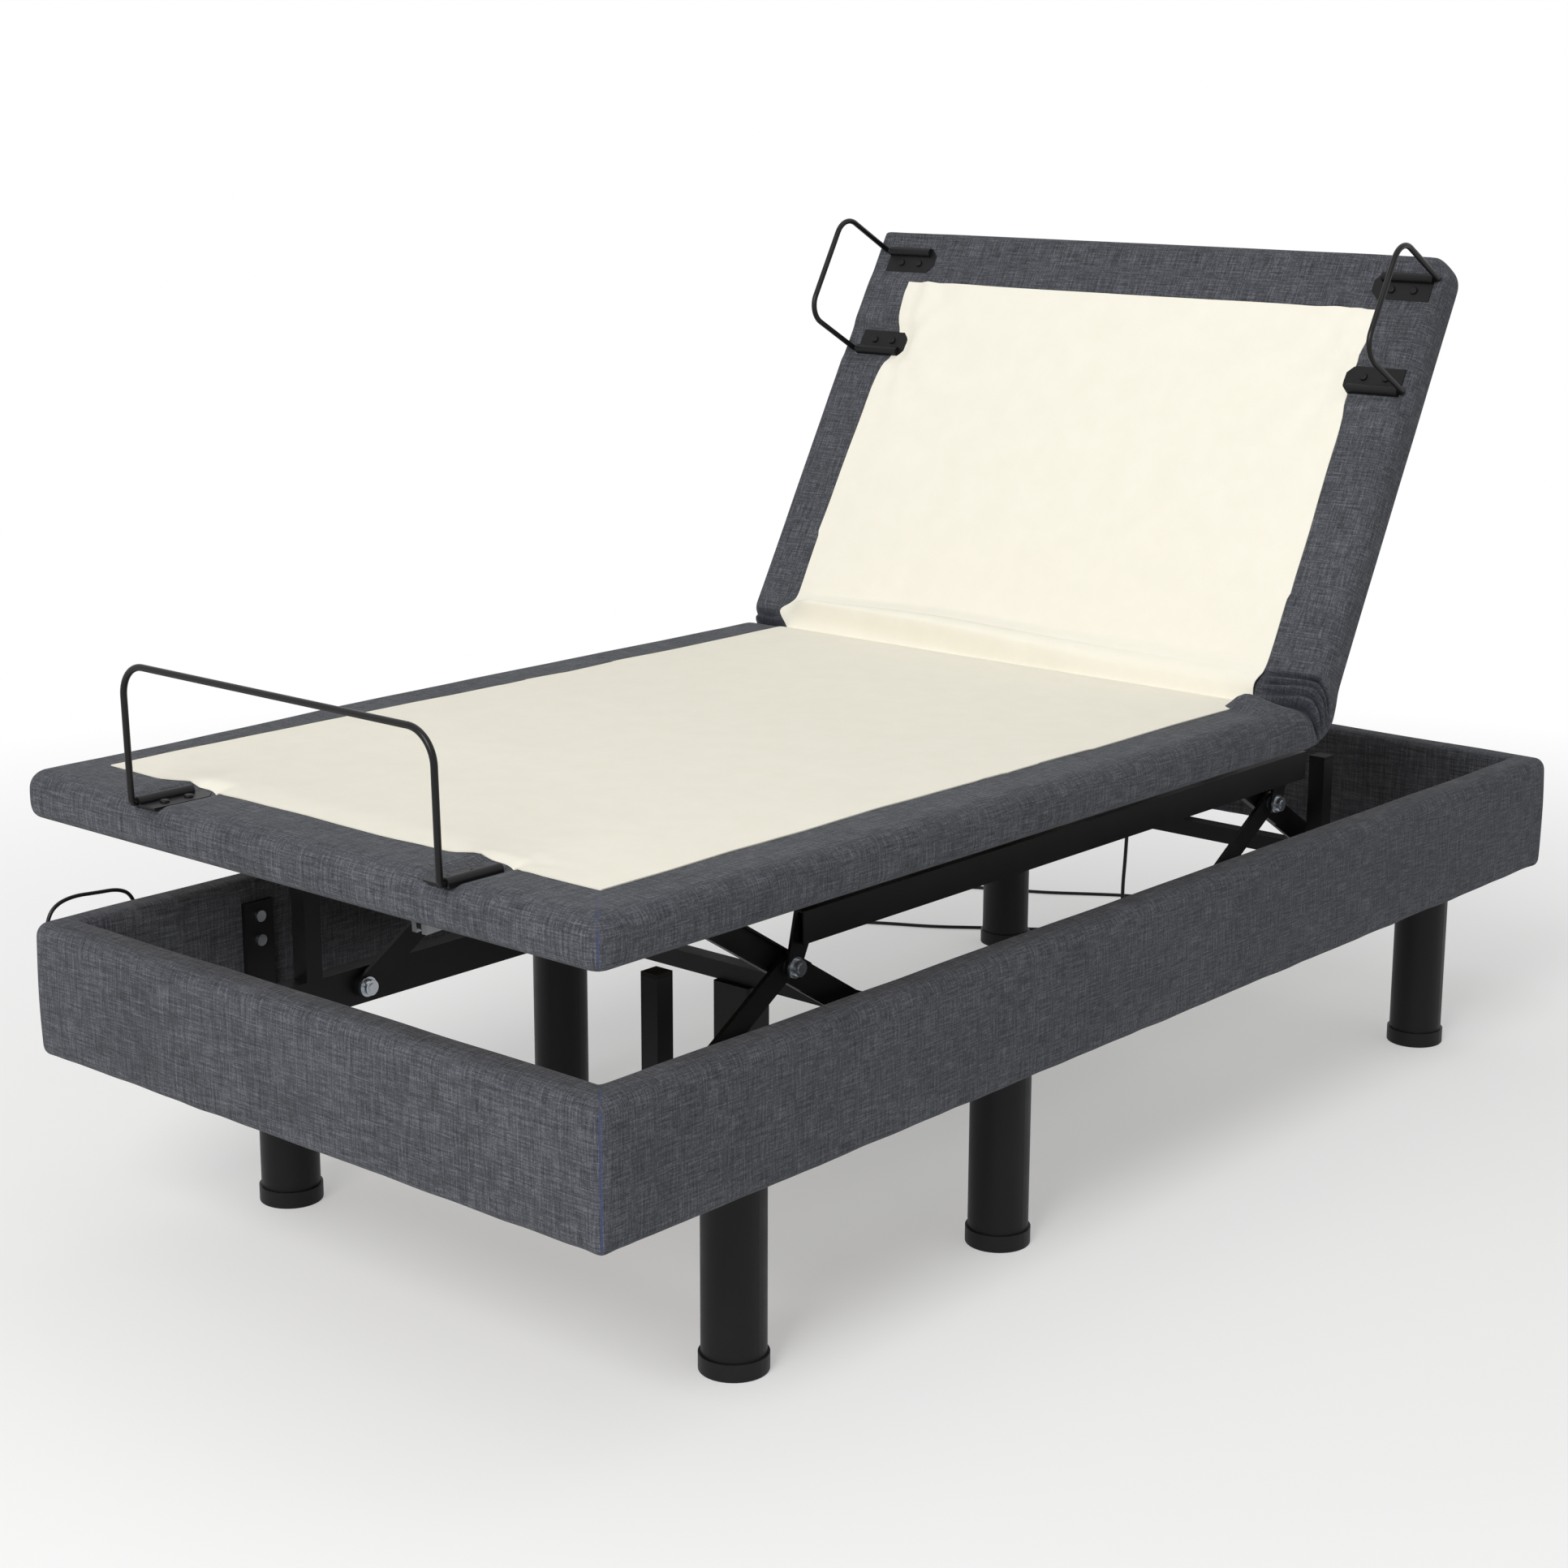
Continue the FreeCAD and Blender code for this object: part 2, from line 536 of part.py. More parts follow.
def build_lower_pivots():
    """Zinc pivot bolts of the lift arms, one per side tube and scissor set."""
    bolts = []
    plate_inner = LIFT_ARM_X - ARM_PLATE / 2.0 - FACE_PLAY
    plate_outer = LIFT_ARM_X + ARM_PLATE / 2.0 + FACE_PLAY
    for pivot_y in SCISSOR_PIVOTS.values():
        place = (pivot_y, ARM_PIVOT_Z)
        nut_x = plate_inner - WASHER_THICK
        shank = across(nut_x - NUT_LENGTH, SIDE_TUBE_X + SIDE_TUBE_WIDTH / 2.0, *place, PIVOT_RADIUS)
        bolt = shank.fuse([across(nut_x, plate_inner, *place, WASHER_RADIUS),
                           across(nut_x - NUT_LENGTH + 1.0, nut_x, *place, NUT_RADIUS),
                           across(plate_outer, SIDE_TUBE_INNER_X, *place, NUT_RADIUS)])
        bolts += pair(bolt.removeSplitter())
    save("lower_pivot_bolts", bolts)


def build_sync_bars():
    """Bars that join the centre pivots of the two scissor sets on each side."""
    foot_y = FOOT_PIVOT_Y + ARM_REACH_Y
    head_y = HEAD_PIVOT_Y + ARM_REACH_Y
    bar_low = CENTRE_Z + SYNC_BAR_BOTTOM
    bar_high = bar_low + SYNC_BAR_HEIGHT
    tab_x = (SYNC_TAB_X - SYNC_TAB_PLATE / 2.0, SYNC_TAB_X + SYNC_TAB_PLATE / 2.0)
    bar_x = (tab_x[1], tab_x[1] + SYNC_BAR_WIDTH)
    bar_start = foot_y + 2.0
    bar = box_tube(bar_x, (bar_start, head_y + SYNC_BAR_OVERHANG), (bar_low, bar_high), 1)
    shapes = [bar]
    for y in (foot_y, head_y):
        eye = across(*tab_x, y, CENTRE_Z, WASHER_RADIUS + 1.0)
        tab = prism([(y - 13.0, CENTRE_Z), (y + 14.0, CENTRE_Z), (y + 14.0 + SYNC_TAB_LEAN, bar_low),
                     (y + 60.0, bar_low + 6.0), (y + 60.0, bar_high), (y + 3.0, bar_high)], *tab_x)
        plate = tab.fuse(eye).removeSplitter()
        shapes.append(plate.cut(across(*tab_x, y, CENTRE_Z, PIVOT_RADIUS + PIN_PLAY)))
    save("sync_bars", shapes + [mirrored(s) for s in shapes])


# ---------------------------------------------------------------- deck chassis
def build_chassis():
    """Chassis tubes, hinge lugs, risers, pivots and control box."""
    half = CHASSIS_TUBE_WIDTH / 2.0
    inner_x, outer_x = CHASSIS_X - half, CHASSIS_X + half
    tube = box_tube((inner_x, outer_x), CHASSIS_Y, (CHASSIS_TUBE_BOTTOM, CHASSIS_TUBE_TOP), 1)
    pins = []
    for pivot_y in SCISSOR_PIVOTS.values():
        bore = across(inner_x - 1, outer_x + 1, pivot_y, UPPER_PIVOT_Z, TORQUE_RADIUS + PIN_PLAY)
        tube = tube.cut(bore)
    save("chassis_side_tubes", pair(tube))

    cross_half = CROSS_TUBE_SIZE / 2.0
    level = (CHASSIS_TUBE_TOP - CROSS_TUBE_SIZE, CHASSIS_TUBE_TOP)
    crosses = [box_tube((-inner_x, inner_x), (y - cross_half, y + cross_half), level, 0)
               for y in CHASSIS_CROSS_Y]
    save("chassis_cross_tubes", crosses)

    lugs = []
    lug_x = (inner_x, inner_x + LUG_PLATE)
    for y in (BACK_HINGE_Y, THIGH_HINGE_Y):
        eye = across(*lug_x, y, DECK_BOTTOM, LUG_RADIUS)
        web = block(lug_x, (y - LUG_RADIUS, y + LUG_RADIUS), (CHASSIS_TUBE_TOP, DECK_BOTTOM))
        bore = across(*lug_x, y, DECK_BOTTOM, HINGE_PIN_RADIUS)
        lugs += pair(web.fuse(eye).removeSplitter().cut(bore))
        head_x = lug_x[1] + 4.0
        pin = across(BACK_RAIL_X + SECTION_RAIL_SIZE / 2.0, head_x, y, DECK_BOTTOM, HINGE_PIN_RADIUS)
        pins += pair(pin.fuse(across(lug_x[1], head_x, y, DECK_BOTTOM, HINGE_PIN_RADIUS + 3.0)).removeSplitter())
    for y in (THIGH_HINGE_Y + 70.0, BACK_HINGE_Y - 70.0):
        lugs += pair(block((inner_x, outer_x), (y - half, y + half), (CHASSIS_TUBE_TOP, BOARD_BOTTOM)))
    mounts = ((LIFT_ACTUATOR_BASE, LIFT_ACTUATOR_X), (BACK_ACTUATOR_BASE, BACK_ACTUATOR_X),
              (LEG_ACTUATOR_BASE, LEG_ACTUATOR_X))
    for (y, z), x in mounts:
        for side in (-1, 1):
            ear_x = x + side * ACTUATOR_EAR_X
            ear = prism([(y - 14.0, level[0]), (y + 14.0, level[0]), (y + 14.0, z - 14.0), (y - 14.0, z - 14.0)],
                        ear_x - LUG_PLATE / 2.0, ear_x + LUG_PLATE / 2.0)
            lugs.append(ear.cut(across(ear_x - 10, ear_x + 10, y, z, PIVOT_RADIUS)))
    rest_pads = [block((CALF_RAIL_X - 8.0, CALF_RAIL_X + 6.0), (y - 20.0, y + 20.0),
                       (CHASSIS_TUBE_TOP, BOARD_BOTTOM - SECTION_RAIL_SIZE - FACE_PLAY))
                 for y in (FOOT_PIVOT_Y + REST_PAD_AHEAD,)]
    lugs += [s for pad in rest_pads for s in pair(pad)]
    save("chassis_lugs", lugs)
    save("hinge_pins", pins)


# ---------------------------------------------------------------- deck sections
def section_outline(y_pair, leans, z_pair, inset):
    """Side view of a deck layer: ends lean back from the hinge lines by the given angles."""
    (y0, y1), (lean0, lean1), (z0, z1) = y_pair, leans, z_pair

    def shift(lean, z):
        return (z - DECK_BOTTOM) * math.tan(math.radians(lean))

    return [(y0 + inset[0] + shift(lean0, z0), z0), (y1 - inset[1] - shift(lean1, z0), z0),
            (y1 - inset[1] - shift(lean1, z1), z1), (y0 + inset[0] + shift(lean0, z1), z1)]


def deck_layers(y_pair, leans, closed_end):
    """Pad, aprons and board of one section. closed_end is -1 foot, 1 head or 0 none."""
    gaps = (0.0 if closed_end == -1 else HINGE_GAP, 0.0 if closed_end == 1 else HINGE_GAP)
    pad = prism(section_outline(y_pair, leans, (BOARD_TOP, DECK_TOP), gaps), -HALF_W, HALF_W)
    inset = list(gaps)
    if closed_end:
        inset[0 if closed_end == -1 else 1] = APRON_THICK
    apron = prism(section_outline(y_pair, leans, (DECK_BOTTOM, BOARD_TOP), gaps), HALF_W - APRON_THICK, HALF_W)
    aprons = pair(apron)
    if closed_end:
        end_y = (y_pair[0], y_pair[0] + APRON_THICK) if closed_end == -1 else (y_pair[1] - APRON_THICK, y_pair[1])
        inner = HALF_W - APRON_THICK
        aprons.append(block((-inner, inner), end_y, (DECK_BOTTOM, BOARD_TOP)))
    board_half = HALF_W - APRON_THICK - FACE_PLAY
    board_inset = [value + (FACE_PLAY if value >= APRON_THICK else 0.0) for value in inset]
    board = prism(section_outline(y_pair, leans, (BOARD_BOTTOM, BOARD_TOP), board_inset), -board_half, board_half)
    return pad, aprons, board


def section_lug(rail_x, side, y, away):
    """Hinge lug on the inner (-1) or outer (1) face of a section rail."""
    face = rail_x + side * SECTION_RAIL_SIZE / 2.0
    x_pair = (face, face + LUG_PLATE) if side > 0 else (face - LUG_PLATE, face)
    rail_z = BOARD_BOTTOM - SECTION_RAIL_SIZE / 2.0
    plate = strip((y, DECK_BOTTOM), (y + away * 70.0, rail_z), LUG_RADIUS - 0.5, *x_pair)
    return plate, x_pair


def section_rail(rail_x, y_pair):
    """Steel rail under a deck board."""
    half = SECTION_RAIL_SIZE / 2.0
    return box_tube((rail_x - half, rail_x + half), y_pair, (BOARD_BOTTOM - SECTION_RAIL_SIZE, BOARD_BOTTOM), 1)


def crank(hinge_y, lead, radius, x, tube_y, tube_reach):
    """Torque tube between the section rails, and the crank plate welded under it for the rod pin."""
    tube_z = BOARD_BOTTOM - SECTION_RAIL_SIZE / 2.0
    tube_radius = SECTION_RAIL_SIZE / 2.0 - 0.5
    pin_y = hinge_y + radius * math.sin(math.radians(lead))
    pin_z = DECK_BOTTOM - radius * math.cos(math.radians(lead))
    plate = strip((tube_y, tube_z), (pin_y, pin_z), CRANK_HALF - 1.0, x - CRANK_PLATE / 2.0, x + CRANK_PLATE / 2.0)
    tube = across(-tube_reach, tube_reach, tube_y, tube_z, tube_radius)
    bore = across(-tube_reach, tube_reach, tube_y, tube_z, tube_radius - TORQUE_WALL)
    return [tube.cut(bore), plate.cut(tube)]


def clamp_parts(origin, along, over, up):
    """Retainer clamp, its two screws and the two screw bores, laid along a direction.

    origin is the middle of the clamp's outer end on the board, along points to its nose,
    over points towards the rod and up stands off the board.
    """
    sign = 1.0 if Vector(*along).cross(Vector(*over)).dot(Vector(*up)) > 0 else -1.0
    width = CLAMP_WIDTH / 2.0
    nose, length = CLAMP_NOSE, CLAMP_LENGTH
    rod_v = CLAMP_ROD_OFFSET
    outline = [(0, -width), (length - nose, -width), (length, -width + nose), (length, width - nose),
               (length - nose, width), (0, width)]
    points = [Vector(u, sign * v, 0) for u, v in outline]
    plate = Part.Face(Part.makePolygon(points + points[:1])).extrude(Vector(0, 0, CLAMP_PLATE))
    rod_w = FACE_PLAY + ROD_RADIUS_BENT
    channel_length = length - nose
    outer = rod((0, sign * rod_v, rod_w), (channel_length, sign * rod_v, rod_w), ROD_RADIUS_BENT + 2.6)
    tunnel = rod((-1, sign * rod_v, rod_w), (channel_length - 6.0, sign * rod_v, rod_w),
                 ROD_RADIUS_BENT + FACE_PLAY)
    keep = Part.makeBox(length + 20, 80, 40, Vector(-10, -40, 0))
    body = plate.fuse(outer).common(keep).cut(tunnel)
    slot = Part.makeBox(channel_length - 5.0, 2 * (ROD_RADIUS_BENT + FACE_PLAY), rod_w,
                        Vector(-1, sign * rod_v - ROD_RADIUS_BENT - FACE_PLAY, 0))
    body = body.cut(slot)
    screws, bores = [], []
    for u in (26.0, 60.0):
        v = -sign * 5.0
        shank = rod((u, v, -12.0), (u, v, CLAMP_PLATE), 2.5)
        head_disc = rod((u, v, CLAMP_PLATE), (u, v, CLAMP_PLATE + 3.2), 5.5)
        head_disc = head_disc.makeFillet(2.0, [e for e in head_disc.Edges
                                               if e.Closed and e.CenterOfMass.z > CLAMP_PLATE + 3.0])
        body = body.cut(shank)
        bores.append(shank)
        screws.append(shank.fuse(head_disc).removeSplitter())
    v_axis = Vector(*over) * sign
    place = Placement(Vector(*origin), Rotation(Vector(*along), v_axis, Vector(*up), "XYZ"))
    moved = []
    for shape in [body] + screws + bores:
        copy = shape.copy()
        copy.Placement = place.multiply(copy.Placement)
        moved.append(copy)
    return moved[0], moved[1:3], moved[3:]


def build_seat():
    """Fixed section between the thigh and back hinges."""
    pad, aprons, board = deck_layers((THIGH_HINGE_Y, BACK_HINGE_Y),
                                     (THIGH_CLEAR_ANGLE / 2.0, BACK_CLEAR_ANGLE / 2.0), 0)
    save("seat_cover", [pad] + aprons)
    save("seat_board", board)


def build_back():
    """Back section with its frame, crank and two side retainers."""
    end_y = BACK_HINGE_Y + (HALF_L - BACK_HINGE_Y)
    pad, aprons, board = deck_layers((BACK_HINGE_Y, end_y), (BACK_CLEAR_ANGLE / 2.0, 0.0), 1)
    rail = section_rail(BACK_RAIL_X, (BACK_HINGE_Y + 46.0, end_y - 90.0))
    lug, lug_x = section_lug(BACK_RAIL_X, 1, BACK_HINGE_Y, 1)
    lug = lug.cut(across(*lug_x, BACK_HINGE_Y, DECK_BOTTOM, HINGE_PIN_RADIUS + PIN_PLAY))
    tube_reach = BACK_RAIL_X - SECTION_RAIL_SIZE / 2.0
    lead = BACK_CRANK_LEAD - BACK_ANGLE
    cranks = crank(BACK_HINGE_Y, lead, BACK_CRANK_RADIUS, BACK_ACTUATOR_X, BACK_HINGE_Y + 66.0, tube_reach)
    head_bar = block((-tube_reach, tube_reach), (end_y - 130.0, end_y - 105.0),
                     (BOARD_BOTTOM - SECTION_RAIL_SIZE, BOARD_BOTTOM))
    save("back_frame", [raised_back(s) for s in pair(rail) + pair(lug) + cranks + [head_bar]])

    clamps, screws, rods = [], [], []
    low_s, high_s = SIDE_RETAINER_S
    clamp_end = SIDE_RETAINER_X - FOOT_BEND - 1.0
    for side in (-1, 1):
        for s, over in ((low_s, -1), (high_s, 1)):
            middle = BACK_HINGE_Y + s - over * CLAMP_ROD_OFFSET
            origin = (side * clamp_end, middle, BOARD_TOP)
            clamp, pair_of_screws, bores = clamp_parts(origin, (-side, 0, 0), (0, over, 0), (0, 0, 1))
            clamps.append(clamp)
            screws += pair_of_screws
            for bore in bores:
                board = board.cut(bore)
                aprons = [apron.cut(bore) for apron in aprons]
            half = CLAMP_WIDTH / 2.0 + POCKET_MARGIN
            x_pair = sorted((side * (clamp_end - CLAMP_LENGTH - POCKET_MARGIN), side * (HALF_W + 1.0)))
            pad = pad.cut(block(x_pair, (middle - half, middle + half), (BOARD_TOP, DECK_TOP + 1.0)))
        top = DECK_TOP + SIDE_RETAINER_HEIGHT
        inner = side * (clamp_end - CLAMP_LENGTH + CLAMP_NOSE + 10.0)
        out = side * SIDE_RETAINER_X
        low_y, high_y = BACK_HINGE_Y + low_s, BACK_HINGE_Y + high_s
        path = [(inner, low_y, ROD_CENTRE_Z), (out, low_y, ROD_CENTRE_Z), (out, low_y, top),
                (out, high_y, top), (out, high_y, ROD_CENTRE_Z), (inner, high_y, ROD_CENTRE_Z)]
        radii = [FOOT_BEND, SIDE_RETAINER_BEND, SIDE_RETAINER_BEND, FOOT_BEND]
        rods.append(swept_rod(rounded_path(path, radii), ROD_RADIUS_BENT))
    save("back_cover", [raised_back(s) for s in [pad] + aprons])
    save("back_board", raised_back(board))
    save("side_retainer_clamps", [raised_back(s) for s in clamps])
    save("side_retainer_screws", [raised_back(s) for s in screws])
    save("side_retainers", [raised_back(s) for s in rods])


def build_thigh():
    """Thigh section with its frame, crank and knee pins."""
    pad, aprons, board = deck_layers((KNEE_HINGE_Y, THIGH_HINGE_Y), (0.0, THIGH_CLEAR_ANGLE / 2.0), 0)
    save("thigh_cover", [pad] + aprons)
    save("thigh_board", board)
    rail = section_rail(BACK_RAIL_X, (KNEE_HINGE_Y + 40.0, THIGH_HINGE_Y - 40.0))
    lug, lug_x = section_lug(BACK_RAIL_X, 1, THIGH_HINGE_Y, -1)
    lug = lug.cut(across(*lug_x, THIGH_HINGE_Y, DECK_BOTTOM, HINGE_PIN_RADIUS + PIN_PLAY))
    knee, knee_x = section_lug(BACK_RAIL_X, 1, KNEE_HINGE_Y, 1)
    knee = knee.cut(across(*knee_x, KNEE_HINGE_Y, DECK_BOTTOM, HINGE_PIN_RADIUS))
    calf_face = CALF_RAIL_X - SECTION_RAIL_SIZE / 2.0
    pin = across(knee_x[0], calf_face - 0.1, KNEE_HINGE_Y, DECK_BOTTOM, HINGE_PIN_RADIUS)
    tube_reach = BACK_RAIL_X - SECTION_RAIL_SIZE / 2.0
    cranks = crank(THIGH_HINGE_Y, LEG_CRANK_LEAD, LEG_CRANK_RADIUS, LEG_ACTUATOR_X,
                   THIGH_HINGE_Y - 66.0, tube_reach)
    save("thigh_frame", pair(rail) + pair(lug) + pair(knee) + pair(pin) + cranks)


def build_calf():
    """Calf section with its frame and the foot retainer."""
    pad, aprons, board = deck_layers((-HALF_L, KNEE_HINGE_Y), (0.0, 0.0), -1)
    rail = section_rail(CALF_RAIL_X, (-HALF_L + 90.0, KNEE_HINGE_Y - 40.0))
    lug, lug_x = section_lug(CALF_RAIL_X, -1, KNEE_HINGE_Y, -1)
    lug = lug.cut(across(*lug_x, KNEE_HINGE_Y, DECK_BOTTOM, HINGE_PIN_RADIUS + PIN_PLAY))
    reach = CALF_RAIL_X - SECTION_RAIL_SIZE / 2.0
    bar = block((-reach, reach), (-HALF_L + 100.0, -HALF_L + 125.0),
                (BOARD_BOTTOM - SECTION_RAIL_SIZE, BOARD_BOTTOM))
    save("calf_frame", pair(rail) + pair(lug) + [bar])

    clamps, screws = [], []
    for side in (-1, 1):
        middle = side * (FOOT_RETAINER_X - CLAMP_ROD_OFFSET)
        origin = (middle, -HALF_L + 1.0, BOARD_TOP)
        clamp, pair_of_screws, bores = clamp_parts(origin, (0, 1, 0), (side, 0, 0), (0, 0, 1))
        clamps.append(clamp)
        screws += pair_of_screws
        for bore in bores:
            board = board.cut(bore)
            aprons = [apron.cut(bore) for apron in aprons]
        half = CLAMP_WIDTH / 2.0 + POCKET_MARGIN
        pad = pad.cut(block((middle - half, middle + half),
                            (-HALF_L - 1.0, -HALF_L + CLAMP_LENGTH + 1.0 + POCKET_MARGIN),
                            (BOARD_TOP, DECK_TOP + 1.0)))
    save("calf_cover", [pad] + aprons)
    save("calf_board", board)
    save("foot_retainer_clamps", clamps)
    save("foot_retainer_screws", screws)
    inner = -HALF_L + CLAMP_LENGTH - CLAMP_NOSE - 10.0
    post_y = -HALF_L - FOOT_RETAINER_OUT
    top = DECK_TOP + FOOT_RETAINER_HEIGHT
    x = FOOT_RETAINER_X
    path = [(-x, inner, ROD_CENTRE_Z), (-x, post_y, ROD_CENTRE_Z), (-x, post_y - 4.0, top),
            (x, post_y - 4.0, top), (x, post_y, ROD_CENTRE_Z), (x, inner, ROD_CENTRE_Z)]
    radii = [FOOT_BEND, FOOT_RETAINER_BEND, FOOT_RETAINER_BEND, FOOT_BEND]
    save("foot_retainer", swept_rod(rounded_path(path, radii), ROD_RADIUS_BENT))


# ---------------------------------------------------------------- actuators
def actuator(name, x, base, pin, motor_side, nose_gap, rod_seat):
    """Linear actuator from a base pivot to a crank pin: housing with sleeve, and push rod."""
    (base_y, base_z), (pin_y, pin_z) = base, pin
    reach = math.hypot(pin_y - base_y, pin_z - base_z)
    sleeve_end = reach - nose_gap
    rod_start = SLEEVE_BORE_START + rod_seat * (sleeve_end - SLEEVE_BORE_START)
    ear_gap = ACTUATOR_EAR_X - LUG_PLATE / 2.0 - FACE_PLAY
    tail = rod((0, 0, 0), (40.0, 0, 0), 14.0).common(Part.makeBox(60, 28, 28, Vector(0, -14, -14)))
    tail = tail.fuse(rod((0, -ear_gap, 0), (0, ear_gap, 0), 13.0))
    gearbox = Part.makeBox(96.0, 50.0, 56.0, Vector(26.0, -25.0, -28.0))
    gearbox = gearbox.makeFillet(7.0, gearbox.Edges)
    motor = rod((34.0, motor_side * 40.0, 0), (142.0, motor_side * 40.0, 0), 22.0)
    sleeve = rod((118.0, 0, 0), (sleeve_end, 0, 0), SLEEVE_RADIUS)
    nose = rod((sleeve_end - 24.0, 0, 0), (sleeve_end, 0, 0), SLEEVE_RADIUS + 3.0)
    bore = rod((SLEEVE_BORE_START, 0, 0), (sleeve_end + 1.0, 0, 0), ROD_RADIUS + FACE_PLAY)
    trunnion = rod((0, -ear_gap - LUG_PLATE, 0), (0, ear_gap + LUG_PLATE, 0), PIVOT_RADIUS - PIN_PLAY)
    housing = tail.fuse([gearbox, motor, sleeve, nose, trunnion]).cut(bore).removeSplitter()
    shaft = rod((rod_start, 0, 0), (reach - 24.0, 0, 0), ROD_RADIUS)
    fork = Part.makeBox(44.0, 26.0, 26.0, Vector(reach - 30.0, -13.0, -13.0))
    slot_half = CRANK_PLATE / 2.0 + FORK_PLAY
    slot = Part.makeBox(60.0, 2 * slot_half, 60.0, Vector(reach - 19.0, -slot_half, -30.0))
    push_rod = shaft.fuse(fork).cut(slot).removeSplitter()
    along = Vector(0, pin_y - base_y, pin_z - base_z).normalize()
    side = Vector(1, 0, 0)
    place = Placement(Vector(x, base_y, base_z), Rotation(along, side, along.cross(side), "XYZ"))
    for suffix, shape in (("_motor", housing), ("_rod", push_rod)):
        shape.Placement = place.multiply(shape.Placement)
        save(name + suffix, shape)
    print(name, "actuator reach", round(reach, 2))


def build_actuators():
    """Lift, back and leg actuators."""
    actuator("lift_actuator", LIFT_ACTUATOR_X, LIFT_ACTUATOR_BASE, lift_pin(), -1,
             LIFT_NOSE_GAP, LIFT_ROD_SEAT)
    lead = math.radians(BACK_CRANK_LEAD)
    back_pin = (BACK_HINGE_Y + BACK_CRANK_RADIUS * math.sin(lead),
                DECK_BOTTOM - BACK_CRANK_RADIUS * math.cos(lead))
    actuator("back_actuator", BACK_ACTUATOR_X, BACK_ACTUATOR_BASE, back_pin, 1,
             BACK_NOSE_GAP, BACK_ROD_SEAT)
    lead = math.radians(LEG_CRANK_LEAD)
    leg_pin = (THIGH_HINGE_Y + LEG_CRANK_RADIUS * math.sin(lead),
               DECK_BOTTOM - LEG_CRANK_RADIUS * math.cos(lead))
    actuator("leg_actuator", LEG_ACTUATOR_X, LEG_ACTUATOR_BASE, leg_pin, 1,
             LEG_NOSE_GAP, LEG_ROD_SEAT)


# ---------------------------------------------------------------- cords
MAINS_EXIT = (-129.0, 800.0)
MAINS_ROUTE = [
    (-129, 800, 246), (-130, 799, 200), (-134, 799, 145), (-131, 798, 88), (-128, 808, 38),
    (-138, 846, 8), (-160, 896, FLOOR_Z), (-206, 942, FLOOR_Z), (-270, 966, FLOOR_Z),
    (-334, 948, FLOOR_Z), (-392, 903, FLOOR_Z), (-456, 858, FLOOR_Z), (-524, 805, FLOOR_Z),
    (-598, 768, FLOOR_Z), (-668, 724, FLOOR_Z), (-738, 728, FLOOR_Z), (-786, 778, FLOOR_Z),
    (-792, 848, FLOOR_Z), (-756, 912, FLOOR_Z), (-712, 974, FLOOR_Z), (-652, 1034, FLOOR_Z),
    (-580, 1072, FLOOR_Z), (-508, 1106, FLOOR_Z), (-446, 1150, FLOOR_Z), (-382, 1192, FLOOR_Z),
    (-306, 1216, FLOOR_Z), (-232, 1224, FLOOR_Z), (-172, 1222, FLOOR_Z), (-130, 1219, FLOOR_Z),
]
COIL_CENTRE = (-130.0, 1180.0)
COIL_RADII = (24.0, 42.0)
COIL_HEIGHT = 12.3
SERVICE_ROUTE = [
    (-490, -990, 402), (-490, -988, 418), (-490, -974, 433), (-490, -948, 438), (-490, -915, 435),
    (-490, -882, 433), (-490, -862, 421), (-490, -857, 402),
]


def build_mains_cord():
    """Power supply on the head cross tube, strain relief, cord, coil and plug."""
    head = LEG_STATIONS[2]
    cross_top = FRAME_BOTTOM + CROSS_TUBE_SIZE
    supply = block((-205.0, -45.0), (head - 44.0, head + 34.0), (cross_top, cross_top + 40.0))
    supply = supply.makeFillet(4.0, [e for e in supply.Edges if e.CenterOfMass.z > cross_top + 1.0])
    save("power_supply", supply)
    x, y = MAINS_EXIT
    relief = cone((x, y, cross_top), (x, y, MAINS_ROUTE[0][2]), 7.5, 4.2)
    save("cord_strain_relief", relief)
    save("mains_cord", cord_tube("mains_cord", MAINS_ROUTE, CORD_DIAMETER))
    cx, cy = COIL_CENTRE
    coil = rod((cx, cy, 0.3), (cx, cy, COIL_HEIGHT), COIL_RADII[1])
    save("mains_cord_coil", coil.cut(rod((cx, cy, 0), (cx, cy, COIL_HEIGHT + 1), COIL_RADII[0])))
    body_x = cx + COIL_RADII[1] + 24.0
    body = block((body_x, body_x + 36.0), (cy - 17.0, cy + 17.0), (0.3, 24.3))
    body = body.makeFillet(5.0, [e for e in body.Edges if e.CenterOfMass.z > 1.0])
    neck = cone((body_x + 1.0, cy, 9.0), (body_x - 25.0, cy, 9.0), 6.5, 4.0)
    blades = [block((body_x + 35.0, body_x + 52.0), (cy + side * 6.4 - 0.8, cy + side * 6.4 + 0.8), (9.0, 15.5))
              for side in (-1, 1)]
    save("mains_plug", body.fuse([neck] + blades).removeSplitter())


def build_service_cable():
    """Short cable between two glands on the outer face of the left rail."""
    save("service_cable", cord_tube("service_cable", SERVICE_ROUTE, CABLE_DIAMETER))
    glands = []
    for x, y, z in (SERVICE_ROUTE[0], SERVICE_ROUTE[-1]):
        gland = block((-HALF_W - 14.0, -HALF_W), (y - 8.0, y + 8.0), (z - 22.0, z))
        glands.append(gland.makeFillet(2.0, [e for e in gland.Edges if e.CenterOfMass.x < -HALF_W - 13.0]))
    save("service_cable_glands", glands)


build_surround()
build_lower_frame()
build_legs()
for scissor_end in SCISSOR_PIVOTS:
    build_scissor(scissor_end)
build_lower_pivots()
build_sync_bars()
build_chassis()
build_seat()
build_back()
build_thigh()
build_calf()
build_actuators()
build_mains_cord()
build_service_cable()
